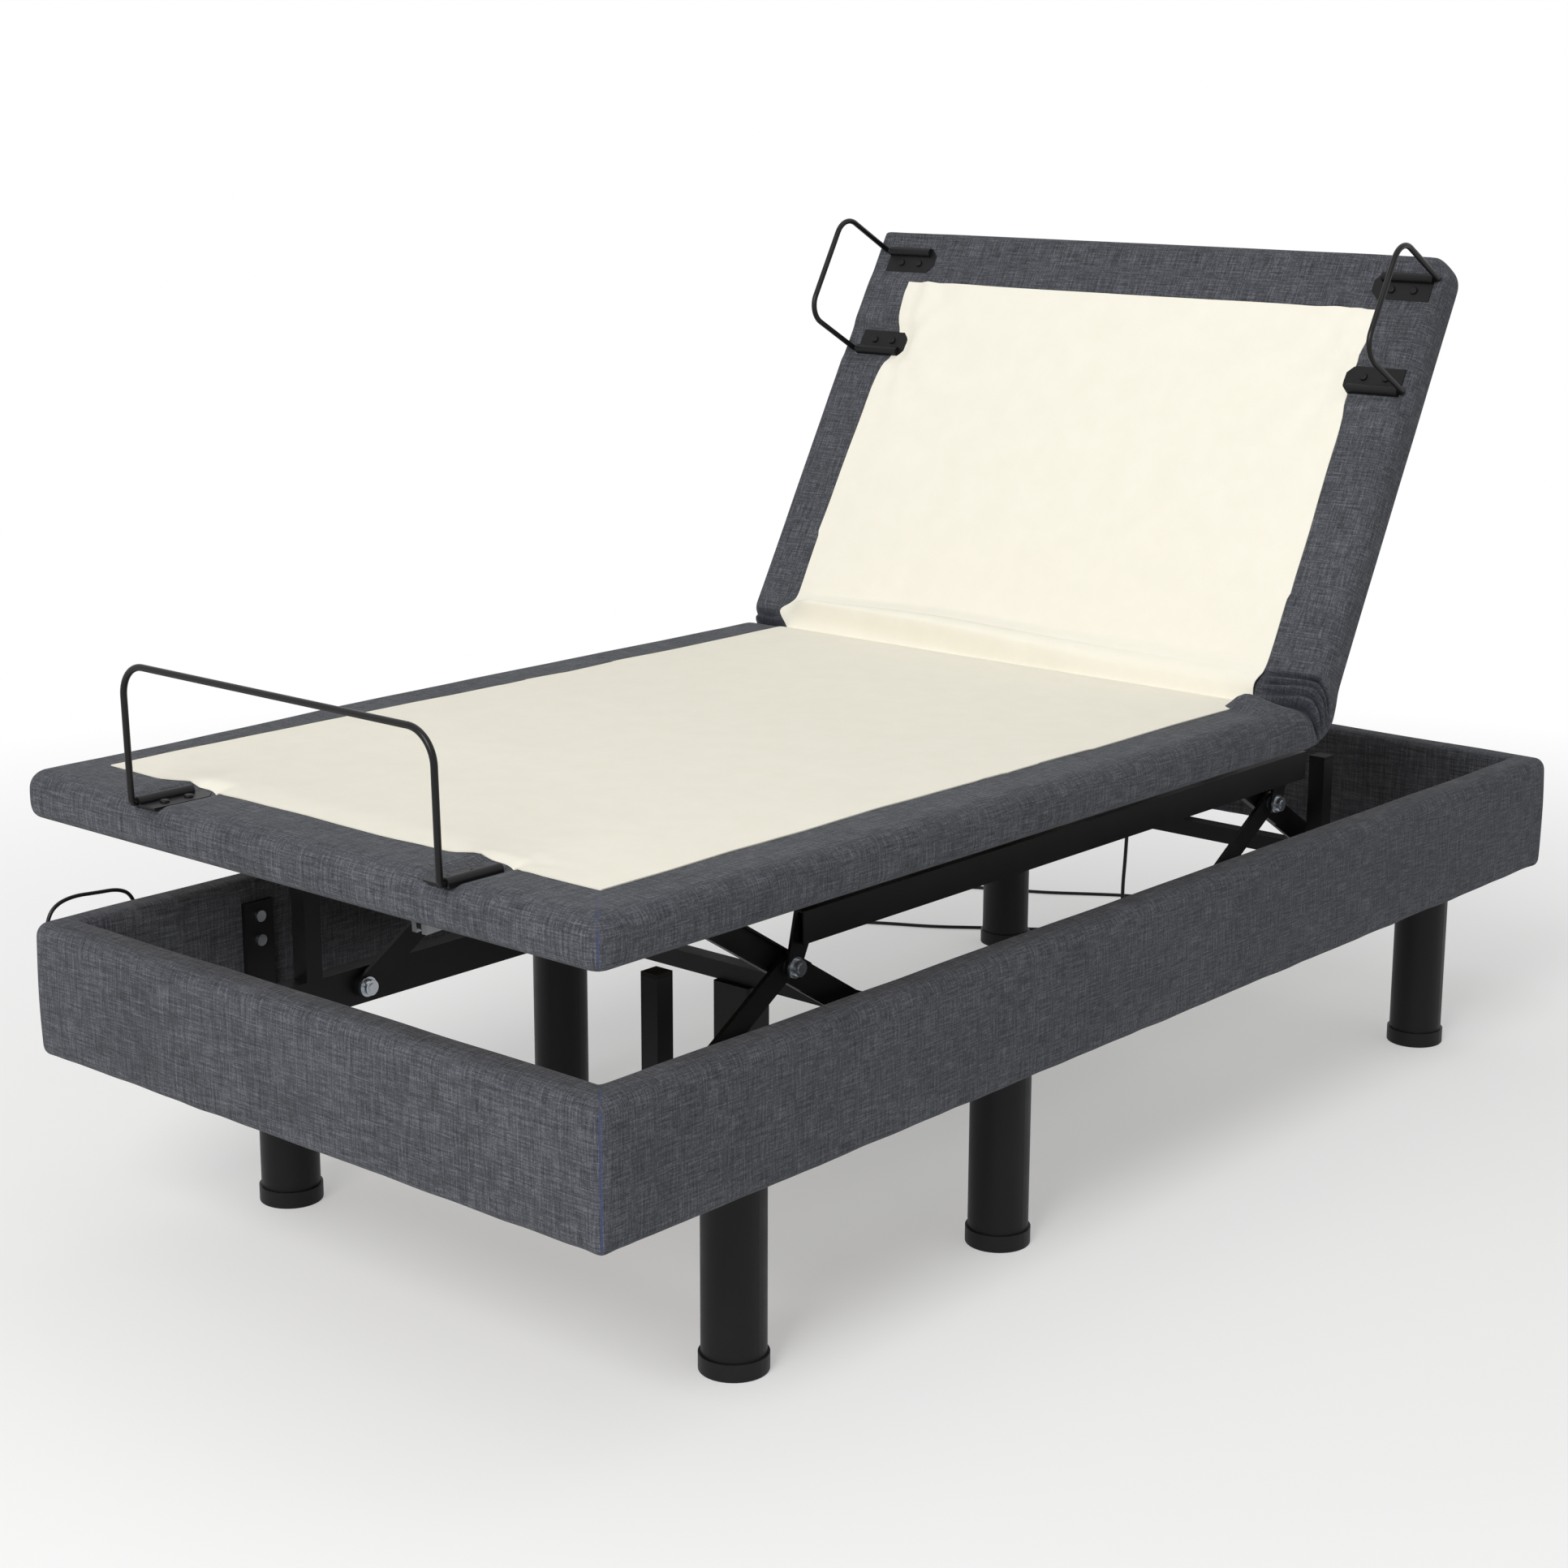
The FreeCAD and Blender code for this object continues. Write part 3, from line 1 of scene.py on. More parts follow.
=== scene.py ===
"""Upholstered adjustable bed base: soft covers, cords, finishes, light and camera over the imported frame."""
import logging
import math
from dataclasses import dataclass, field
from enum import Enum
from functools import partial
from typing import Callable, Iterable

import bmesh
import bpy
import numpy as np
from bpy.types import Material, Node, NodeSocket, NodeTree, Object
from mathutils import Matrix, Vector, noise


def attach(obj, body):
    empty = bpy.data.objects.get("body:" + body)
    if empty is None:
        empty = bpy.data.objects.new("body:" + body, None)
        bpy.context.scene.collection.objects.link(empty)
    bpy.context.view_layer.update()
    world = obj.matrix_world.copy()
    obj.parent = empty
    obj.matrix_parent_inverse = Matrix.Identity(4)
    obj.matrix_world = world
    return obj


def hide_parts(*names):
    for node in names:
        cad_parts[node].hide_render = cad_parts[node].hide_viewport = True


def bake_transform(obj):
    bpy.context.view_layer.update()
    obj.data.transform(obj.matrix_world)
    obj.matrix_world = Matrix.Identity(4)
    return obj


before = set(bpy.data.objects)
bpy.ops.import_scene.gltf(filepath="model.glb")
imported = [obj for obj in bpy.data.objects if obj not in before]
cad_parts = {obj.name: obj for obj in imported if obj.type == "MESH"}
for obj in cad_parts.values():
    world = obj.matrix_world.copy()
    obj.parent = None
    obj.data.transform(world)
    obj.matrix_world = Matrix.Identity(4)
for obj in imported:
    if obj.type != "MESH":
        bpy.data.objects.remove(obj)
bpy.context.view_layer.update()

LOG = logging.getLogger("bed_base")
MM = 0.001
TINY = 1e-9
HALF_WIDTH, HALF_LENGTH = 0.4825, 1.016   # of the deck and of the surround
WHITE = (1.0, 1.0, 1.0, 1.0)
Array = np.ndarray
Place = tuple[float, float, float]
Pair = tuple[float, float]
Adder = Callable[..., Node]


# ------------------------------------------------------------------ small helpers
class Element(Enum):
    """What edit mode selects."""

    EDGE = "edges"
    FACE = "faces"


def srgb(code: str) -> tuple[float, float, float, float]:
    """Turn an sRGB hex colour into linear RGBA.

    Args:
        code: a hash and six hex digits.

    Returns:
        Linear red, green, blue and an alpha of 1.
    """
    parts = [int(code[i:i + 2], 16) / 255.0 for i in (1, 3, 5)]
    line = [p / 12.92 if p <= 0.04045 else ((p + 0.055) / 1.055) ** 2.4 for p in parts]
    return (line[0], line[1], line[2], 1.0)


def set_inputs(tree: NodeTree, node: Node, inputs: dict) -> None:
    """Set or link a node's inputs.

    Args:
        tree: the node tree that holds it.
        node: the node.
        inputs: input names or numbers, each with a value, a socket to link, or a node that stands
            for its first output.
    """
    for name, value in inputs.items():
        source = value.outputs[0] if isinstance(value, Node) else value
        if isinstance(source, NodeSocket):
            tree.links.new(source, node.inputs[name])
        else:
            node.inputs[name].default_value = source


def add_node(tree: NodeTree, kind: str, inputs: dict | None = None, **settings: str) -> Node:
    """Add one node with its settings and its links.

    Args:
        tree: the node tree that receives it.
        kind: the node's type name, without ShaderNode in front.
        inputs: what set_inputs takes.
        **settings: attribute names and values.

    Returns:
        The new node.
    """
    node = tree.nodes.new("ShaderNode" + kind)
    for name, value in settings.items():
        setattr(node, name, value)
    set_inputs(tree, node, inputs or {})
    return node


def new_material(name: str) -> tuple[Material, Adder]:
    """Make a material that holds a Principled shader, with what adds nodes to it.

    Args:
        name: the material's name.

    Returns:
        The material, and what adds a node to its tree.
    """
    material = bpy.data.materials.new(name)
    material.use_nodes = True
    return material, partial(add_node, material.node_tree)


def set_surface(material: Material, inputs: dict) -> None:
    """Set or link the inputs of a material's Principled shader."""
    tree = material.node_tree
    set_inputs(tree, tree.nodes["Principled BSDF"], inputs)


def only(piece: Object) -> None:
    """Make one object the whole selection and the active one.

    Args:
        piece: the object to select.
    """
    if bpy.context.object and bpy.context.object.mode != "OBJECT":
        bpy.ops.object.mode_set(mode="OBJECT")
    bpy.ops.object.select_all(action="DESELECT")
    piece.select_set(True)
    bpy.context.view_layer.objects.active = piece


def pick(piece: Object, kind: Element, test: Callable) -> None:
    """Select the elements of an open mesh that pass a test.

    Args:
        piece: the object in edit mode.
        kind: edges or faces.
        test: takes a bmesh element and says whether it is wanted.
    """
    bpy.ops.mesh.select_mode(type=kind.name)
    bpy.ops.mesh.select_all(action="DESELECT")
    mesh = bmesh.from_edit_mesh(piece.data)
    for element in [e for e in getattr(mesh, kind.value) if test(e)]:
        element.select_set(True)
    bmesh.update_edit_mesh(piece.data)


def cut_planes(axis: int, places: Iterable[float]) -> None:
    """Bisect the open mesh at several places along one axis.

    Args:
        axis: 0, 1 or 2 for x, y or z.
        places: where the planes cross that axis.
    """
    normal = [0.0, 0.0, 0.0]
    normal[axis] = 1.0
    for place in places:
        point = [0.0, 0.0, 0.0]
        point[axis] = place
        bpy.ops.mesh.select_all(action="SELECT")
        bpy.ops.mesh.bisect(plane_co=point, plane_no=normal, use_fill=False)


def weld() -> None:
    """Merge the open mesh's doubled vertices and turn its faces outwards."""
    bpy.ops.mesh.select_all(action="SELECT")
    bpy.ops.mesh.remove_doubles(threshold=0.05 * MM)
    bpy.ops.mesh.normals_make_consistent(inside=False)


def points_of(piece: Object) -> Array:
    """Vertex places of a mesh as an array of rows.

    Args:
        piece: the mesh object.

    Returns:
        One row of x, y and z for each vertex.
    """
    flat = np.zeros(len(piece.data.vertices) * 3, np.float64)
    piece.data.vertices.foreach_get("co", flat)
    return flat.reshape(-1, 3)


def put_points(piece: Object, places: Array) -> None:
    """Write vertex places back to a mesh."""
    piece.data.vertices.foreach_set("co", places.astype(np.float32).ravel())
    piece.data.update()


def keep(piece: Object, name: str, values: Array) -> None:
    """Store a number or a vector for each vertex; cloth_place is where it lies on the unbent cloth.

    Args:
        piece: the mesh object.
        name: the attribute's name.
        values: one number or one row of three for each vertex.
    """
    kind, key = ("FLOAT", "value") if values.ndim == 1 else ("FLOAT_VECTOR", "vector")
    attribute = piece.data.attributes.new(name, kind, "POINT")
    attribute.data.foreach_set(key, values.astype(np.float32).ravel())


def finish_mesh(piece: Object, degrees: float, kind: str, **settings: float | int | bool) -> None:
    """Apply one modifier, then shade smooth except over edges sharper than an angle.

    Args:
        piece: the mesh object.
        degrees: the angle.
        kind: the modifier's type.
        **settings: the modifier's settings.
    """
    only(piece)
    modifier = piece.modifiers.new(kind.title(), kind)
    for name, value in settings.items():
        setattr(modifier, name, value)
    bpy.ops.object.modifier_apply(modifier=modifier.name)
    bpy.ops.object.shade_smooth_by_angle(angle=math.radians(degrees))


# ------------------------------------------------------------------ soft shapes
@dataclass(frozen=True)
class Hump:
    """A smooth local rise along a line; a higher power makes its top flatter and its sides steeper."""

    height: float
    middle: float
    reach: float
    power: int = 2

    def at(self, place: Array) -> Array:
        """Height of the rise at each place."""
        return self.height * np.exp(-(((place - self.middle) / self.reach) ** self.power))


@dataclass(frozen=True)
class Wave:
    """Smooth unevenness that repeats each run, with so many waves to a metre each way."""

    height: float
    across: float
    along: float
    seed: float

    def at(self, x: Array, s: Array) -> Array:
        """Height at each place, up to the full height both ways."""
        pairs = zip(x * self.across, s * self.along)
        return self.height * np.array([noise.noise(Vector((a, b, self.seed))) for a, b in pairs])


def heights(humps: Iterable[Hump], place: Array) -> Array:
    """Sum of several rises at each place."""
    return sum(hump.at(place) for hump in humps)


def rise(value: Array, start: Array | float = 0.0, run: Array | float = 1.0) -> Array:
    """Smooth change from 0 where the run starts to 1 where it ends."""
    v = np.clip((value - start) / run, 0.0, 1.0)
    return v * v * (3.0 - 2.0 * v)


@dataclass(frozen=True)
class Ramp:
    """A smooth change from 0 to 1 over a run of so many metres; at the negated place it falls."""

    start: float
    run: float

    def at(self, place: Array) -> Array:
        """Share of the change that is done at each place."""
        return rise(place, self.start, self.run)


def round_edge(first: Array, second: Array, radius: Array | float) -> tuple[Array, Array]:
    """Round the edge between two faces, each place given by its depth below both.

    Args:
        first: depths below the first face.
        second: depths below the second face.
        radius: the edge's radius.

    Returns:
        The new depths.
    """
    u, v = np.clip(1.0 - first / radius, 0.0, 1.0), np.clip(1.0 - second / radius, 0.0, 1.0)
    shrink = np.maximum(u, v) / np.maximum(np.hypot(u, v), TINY)
    return first + u * (1.0 - shrink) * radius, second + v * (1.0 - shrink) * radius


def lay_out(x: Array, y: Array, depth: Array, halves: Pair, radius: Array | float,
            deep: Array | bool = False) -> tuple[Array, Array, Array, Array]:
    """Turn depths inside the outer walls into places in plan, with rounded upright corners.

    Args:
        x: distances across from the middle, all positive.
        y: distances along from the middle, all positive.
        depth: how far each place lies inside the nearer wall.
        halves: half the width and half the length.
        radius: the corners' radius.
        deep: where a place is so far in that it stays.

    Returns:
        Places across and along, and the two parts of the outward direction.
    """
    wide, long = halves
    gap_x, gap_y = wide - x, long - y
    side = gap_x <= gap_y
    far_x = np.where(side, wide - depth, np.minimum(x, wide - depth))
    far_y = np.where(side & (gap_x < gap_y), np.minimum(y, long - depth), long - depth)
    far_x, far_y = np.where(deep, x, far_x), np.where(deep, y, far_y)
    core_x, core_y = np.minimum(far_x, wide - radius), np.minimum(far_y, long - radius)
    out_x, out_y = far_x - core_x, far_y - core_y
    reach = np.maximum(np.hypot(out_x, out_y), TINY)
    shrink = np.maximum(out_x, out_y) / reach
    corner = (out_x > TINY) & (out_y > TINY)
    way_x = np.where(corner, out_x / reach, np.where(side, 1.0, 0.0))
    way_y = np.where(corner, out_y / reach, np.where(side, 0.0, 1.0))
    return core_x + out_x * shrink, core_y + out_y * shrink, way_x, way_y


# ------------------------------------------------------------------ finishes
@dataclass(frozen=True)
class LinenWeave:
    """Heathered linen-look polyester upholstery, plain woven with slub yarn.

    Uneven yarns give short lighter and darker streaks both ways, and a dull surface.
    """

    dark: str = "#2E2F33"
    middle: str = "#45474C"
    light: str = "#68696F"
    seam_thread: str = "#3B4568"
    # painted shade: the dark blue-grey mixed into the linen's colour in its creases and along the hinge
    # valley, and its greatest share
    painted_crease_shade: str = "#1F2129"
    painted_crease_shade_share: float = 0.9
    yarn: float = 1.9 * MM       # two real yarns, drawn as one so that the slub shows
    slub: float = 36.0 * MM      # length of a thick place in the yarn
    clouds: float = 9.0          # broad lighter and darker areas to a metre
    cloud_share: float = 0.22
    tones: Pair = (1.17, 2.05)   # summed noise at the darkest and the lightest yarn
    stops: Place = (0.08, 0.48, 0.95)
    seam_edges: Pair = (0.5 * MM, 3.5 * MM)
    seam_depths: Pair = (14.0 * MM, 28.0 * MM)
    seam_shares: Pair = (0.75, 0.25)
    seam_sink: float = -2.0      # beside a yarn's bump of 1
    relief: float = 1.0 * MM
    roughness: float = 0.9

    def build(self) -> Material:
        """Make the material, whose weave follows the cloth_place attribute.

        Returns:
            The material, which reads cloth_place, and the attribute that paints shade into the creases and
            the hinge valley.
        """
        material, add = new_material("linen_upholstery")
        place = add("Attribute", attribute_name="cloth_place").outputs["Vector"]
        across, along = 1.0 / self.yarn, 1.0 / self.slub
        layers = []
        for scale in ((along, across, across), (across, along, across), (across, across, along)):
            mapped = add("Mapping", {"Vector": place, "Scale": scale})
            layers.append(add("TexNoise", {
                "Vector": mapped, "Scale": 1.0, "Detail": 2.0, "Roughness": 0.62}))
        pair = add("Math", {0: layers[0], 1: layers[1]}, operation="ADD")
        weave = add("Math", {0: pair, 1: layers[2]}, operation="ADD")
        cloud = add("TexNoise", {"Vector": place, "Scale": self.clouds, "Detail": 3.0, "Roughness": 0.5})
        tone = add("Math", {0: cloud, 1: self.cloud_share, 2: weave}, operation="MULTIPLY_ADD")
        ranged = add("MapRange", {"Value": tone, "From Min": self.tones[0], "From Max": self.tones[1]})
        ramp = add("ValToRGB", {"Fac": ranged})
        first, last = ramp.color_ramp.elements
        first.color, last.color = srgb(self.dark), srgb(self.light)
        first.position, last.position = self.stops[0], self.stops[2]
        ramp.color_ramp.elements.new(self.stops[1]).color = srgb(self.middle)
        seam = self.seam_mask(add, place)
        coloured = add("Mix", {0: seam, 6: ramp, 7: srgb(self.seam_thread)}, data_type="RGBA")
        # painted shade: the linen's colour darkens towards a dark blue-grey in its creases and along the
        # hinge valley
        painted_crease_shade = add("Attribute", attribute_name="fold_depth").outputs["Fac"]
        deep = add("Math", {0: painted_crease_shade, 1: self.painted_crease_shade_share}, operation="MULTIPLY")
        shaded = add("Mix", {0: deep, 6: coloured.outputs[2], 7: srgb(self.painted_crease_shade)}, data_type="RGBA")
        height = add("Math", {0: seam, 1: self.seam_sink, 2: weave}, operation="MULTIPLY_ADD")
        bump = add("Bump", {"Height": height, "Strength": 0.4, "Distance": self.relief})
        set_surface(material, {
            "Base Color": shaded.outputs[2], "Normal": bump, "Roughness": self.roughness, "IOR": 1.46,
            "Specular IOR Level": 0.2, "Sheen Weight": 0.05, "Sheen Roughness": 0.5})
        return material

    def seam_mask(self, add: Adder, place: NodeSocket) -> Node:
        """Draw the mitred corner seams, where the distances to two edges are equal.

        Args:
            add: adds a node to the material.
            place: the flat place on the cloth.

        Returns:
            A node that gives a share of thread colour on the sewn line and 0 away from it.
        """
        split = add("SeparateXYZ", {0: place}).outputs
        gaps = []
        for name, limit in (("X", HALF_WIDTH), ("Y", HALF_LENGTH)):
            size = add("Math", {0: split[name]}, operation="ABSOLUTE")
            gaps.append(add("Math", {0: limit, 1: size}, operation="SUBTRACT"))
        apart = add("Math", {0: gaps[0], 1: gaps[1]}, operation="SUBTRACT")
        off = add("Math", {0: apart}, operation="ABSOLUTE")
        masks = [add("MapRange", {
            "Value": value, "From Min": low, "From Max": high, "To Min": first, "To Max": last})
            for value, (low, high), (first, last) in (
                (off, self.seam_edges, (1.0, 0.0)), (gaps[0], self.seam_depths, self.seam_shares))]
        foot = add("Math", {0: split["Y"], 1: 0.0}, operation="LESS_THAN")
        part = add("Math", {0: masks[0], 1: masks[1]}, operation="MULTIPLY")
        return add("Math", {0: part, 1: foot}, operation="MULTIPLY")


@dataclass(frozen=True)
class DeckFeltFinish:
    """Cream polypropylene needled felt: matt, with a faint mottle and fine fibre pits."""

    light: str = "#EEEADD"
    shade: str = "#EAE6D8"
    fibre: float = 1.6 * MM      # coarser than the real 0.5 mm fibre clumps, so that they show
    fibre_share: float = 0.35
    mottles: float = 22.0        # to a metre
    tones: Pair = (0.45, 0.95)
    relief: float = 0.6 * MM
    roughness: float = 0.95

    def build(self) -> Material:
        """Make the material, whose fibres follow the cloth_place attribute.

        Returns:
            The felt material.
        """
        material, add = new_material("needled_deck_felt")
        place = add("Attribute", attribute_name="cloth_place").outputs["Vector"]
        mottle = add("TexNoise", {"Vector": place, "Scale": self.mottles, "Detail": 6.0, "Roughness": 0.6})
        fibre = add("TexNoise", {
            "Vector": place, "Scale": 1.0 / self.fibre, "Detail": 3.0, "Roughness": 0.7})
        both = add("Math", {0: fibre, 1: self.fibre_share, 2: mottle}, operation="MULTIPLY_ADD")
        ranged = add("MapRange", {"Value": both, "From Min": self.tones[0], "From Max": self.tones[1]})
        tint = add("Mix", {0: ranged, 6: srgb(self.shade), 7: srgb(self.light)}, data_type="RGBA")
        bump = add("Bump", {"Height": fibre, "Strength": 0.3, "Distance": self.relief})
        set_surface(material, {"Base Color": tint.outputs[2], "Normal": bump, "Roughness": self.roughness,
                           "IOR": 1.49, "Specular IOR Level": 0.15})
        return material


@dataclass(frozen=True)
class CoatedSurface:
    """A coating, moulding or plated metal with a fine grain over one colour.

    The grain gives small changes of gloss, and worn places are a little lighter.
    """

    name: str
    colour: str
    worn: str
    roughness: float
    grain: float                 # metres between bumps
    relief: float                # height of the bumps in metres
    metallic: float = 0.0
    specular: float = 0.5
    stretch: Place = (1.0, 1.0, 1.0)
    patches: float = 14.0        # worn places to a metre
    worn_range: Pair = (0.48, 0.8)
    gloss_range: Pair = (0.3, 0.75)
    gloss_change: Pair = (-0.05, 0.08)

    def build(self) -> Material:
        """Make the material on Object coordinates.

        Returns:
            The coated material.
        """
        material, add = new_material(self.name)
        place = add("TexCoord").outputs["Object"]
        mapped = add("Mapping", {"Vector": place, "Scale": self.stretch})
        grain = add("TexNoise", {
            "Vector": mapped, "Scale": 1.0 / self.grain, "Detail": 3.0, "Roughness": 0.55})
        patches = add("TexNoise", {
            "Vector": place, "Scale": self.patches, "Detail": 5.0, "Roughness": 0.65})
        mask = add("MapRange", {
            "Value": patches, "From Min": self.worn_range[0], "From Max": self.worn_range[1]})
        tint = add("Mix", {0: mask, 6: srgb(self.colour), 7: srgb(self.worn)}, data_type="RGBA")
        low, high = (self.roughness + change for change in self.gloss_change)
        rough = add("MapRange", {
            "Value": patches, "From Min": self.gloss_range[0], "From Max": self.gloss_range[1],
            "To Min": low, "To Max": high})
        bump = add("Bump", {"Height": grain, "Strength": 0.5, "Distance": self.relief})
        set_surface(material, {"Base Color": tint.outputs[2], "Roughness": rough, "Normal": bump,
                           "Metallic": self.metallic, "Specular IOR Level": self.specular})
        return material


@dataclass(frozen=True)
class BirchPlywood:
    """Raw rotary-cut birch plywood: pale, with long soft grain and darker glue lines at its edges."""

    pale: str = "#C9AE82"
    grain_colour: str = "#A98A5C"
    ply: float = 1.5 * MM
    ring: float = 9.0 * MM       # distance between grain bands
    length: float = 0.25         # of a grain band
    relief: float = 0.4 * MM
    roughness: float = 0.75

    def build(self) -> Material:
        """Make the material on Object coordinates.

        Returns:
            The plywood material.
        """
        material, add = new_material("raw_birch_plywood")
        place = add("TexCoord").outputs["Object"]
        mapped = add("Mapping", {
            "Vector": place, "Scale": (1.0 / self.ring, 1.0 / self.length, 1.0 / self.ply)})
        grain = add("TexNoise", {"Vector": mapped, "Scale": 1.0, "Detail": 4.0, "Roughness": 0.55})
        tint = add("Mix", {0: grain, 6: srgb(self.pale), 7: srgb(self.grain_colour)}, data_type="RGBA")
        bump = add("Bump", {"Height": grain, "Strength": 0.3, "Distance": self.relief})
        set_surface(material, {"Base Color": tint.outputs[2], "Normal": bump, "Roughness": self.roughness})
        return material


# Polyester powder coat over steel: satin, with the slight orange peel of baked powder.
SATIN_POWDER_COAT = CoatedSurface("satin_powder_coated_steel", "#111113", "#17171A", 0.46, 1.6 * MM,
                                  0.05 * MM, specular=0.2)
# The same coat laid smoother over bent wire, so it shines more.
GLOSS_POWDER_COAT = CoatedSurface("gloss_powder_coated_wire", "#0E0E10", "#161618", 0.33, 2.0 * MM,
                                  0.03 * MM, specular=0.25)
# Bright zinc electroplate: cool, slightly blue, with dulled patches.
ZINC_PLATE = CoatedSurface("bright_zinc_plate", "#C6CCD3", "#A9AFB6", 0.3, 0.9 * MM, 0.02 * MM, metallic=1.0)
# Drawn steel rod: fine marks along its length.
DRAWN_STEEL = CoatedSurface("drawn_steel_rod", "#B6B8BB", "#9C9EA2", 0.28, 0.8 * MM, 0.02 * MM,
                            metallic=1.0, stretch=(1.0, 0.05, 1.0))
# Injection moulded ABS with a fine spark-eroded texture.
MOULDED_ABS = CoatedSurface("moulded_black_abs", "#131315", "#1A1A1D", 0.5, 0.9 * MM, 0.06 * MM,
                            specular=0.22)
# Moulded natural rubber: dull, a little dusty.
MOULDED_RUBBER = CoatedSurface("moulded_black_rubber", "#151515", "#232322", 0.78, 1.2 * MM, 0.05 * MM,
                               specular=0.2)
# Extruded flexible PVC sheath: smooth, faintly shiny.
PVC_SHEATH = CoatedSurface("black_pvc_sheath", "#131315", "#1B1B1D", 0.4, 2.4 * MM, 0.03 * MM, specular=0.3)


@dataclass
class Finishes:
    """Every material of the object, by the record's slot name."""

    by_slot: dict[str, Material] = field(default_factory=dict)

    def build(self) -> "Finishes":
        """Make each material once.

        Returns:
            The finishes, ready to dress pieces with.
        """
        makers = {
            "linen_fabric": LinenWeave(), "deck_felt": DeckFeltFinish(), "plywood": BirchPlywood(),
            "satin_black_steel": SATIN_POWDER_COAT, "gloss_black_steel": GLOSS_POWDER_COAT,
            "zinc_steel": ZINC_PLATE, "rod_steel": DRAWN_STEEL, "black_plastic": MOULDED_ABS,
            "black_rubber": MOULDED_RUBBER, "cord_rubber": PVC_SHEATH,
        }
        self.by_slot = {slot: maker.build() for slot, maker in makers.items()}
        return self

    def dress_cad(self) -> None:
        """Give every shown CAD node its finish, in the slots it already has."""
        for name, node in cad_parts.items():
            for holder in node.material_slots:
                slot = holder.material.name.split(".")[0]
                holder.material = self.by_slot.get(slot, self.by_slot["satin_black_steel"])
            LOG.info("cad node %s dressed", name)

    def dress(self, piece: Object, slot: str) -> None:
        """Give a new piece one finish.

        Args:
            piece: the object to dress.
            slot: the finish's slot name.
        """
        piece.data.materials.clear()
        piece.data.materials.append(self.by_slot[slot])


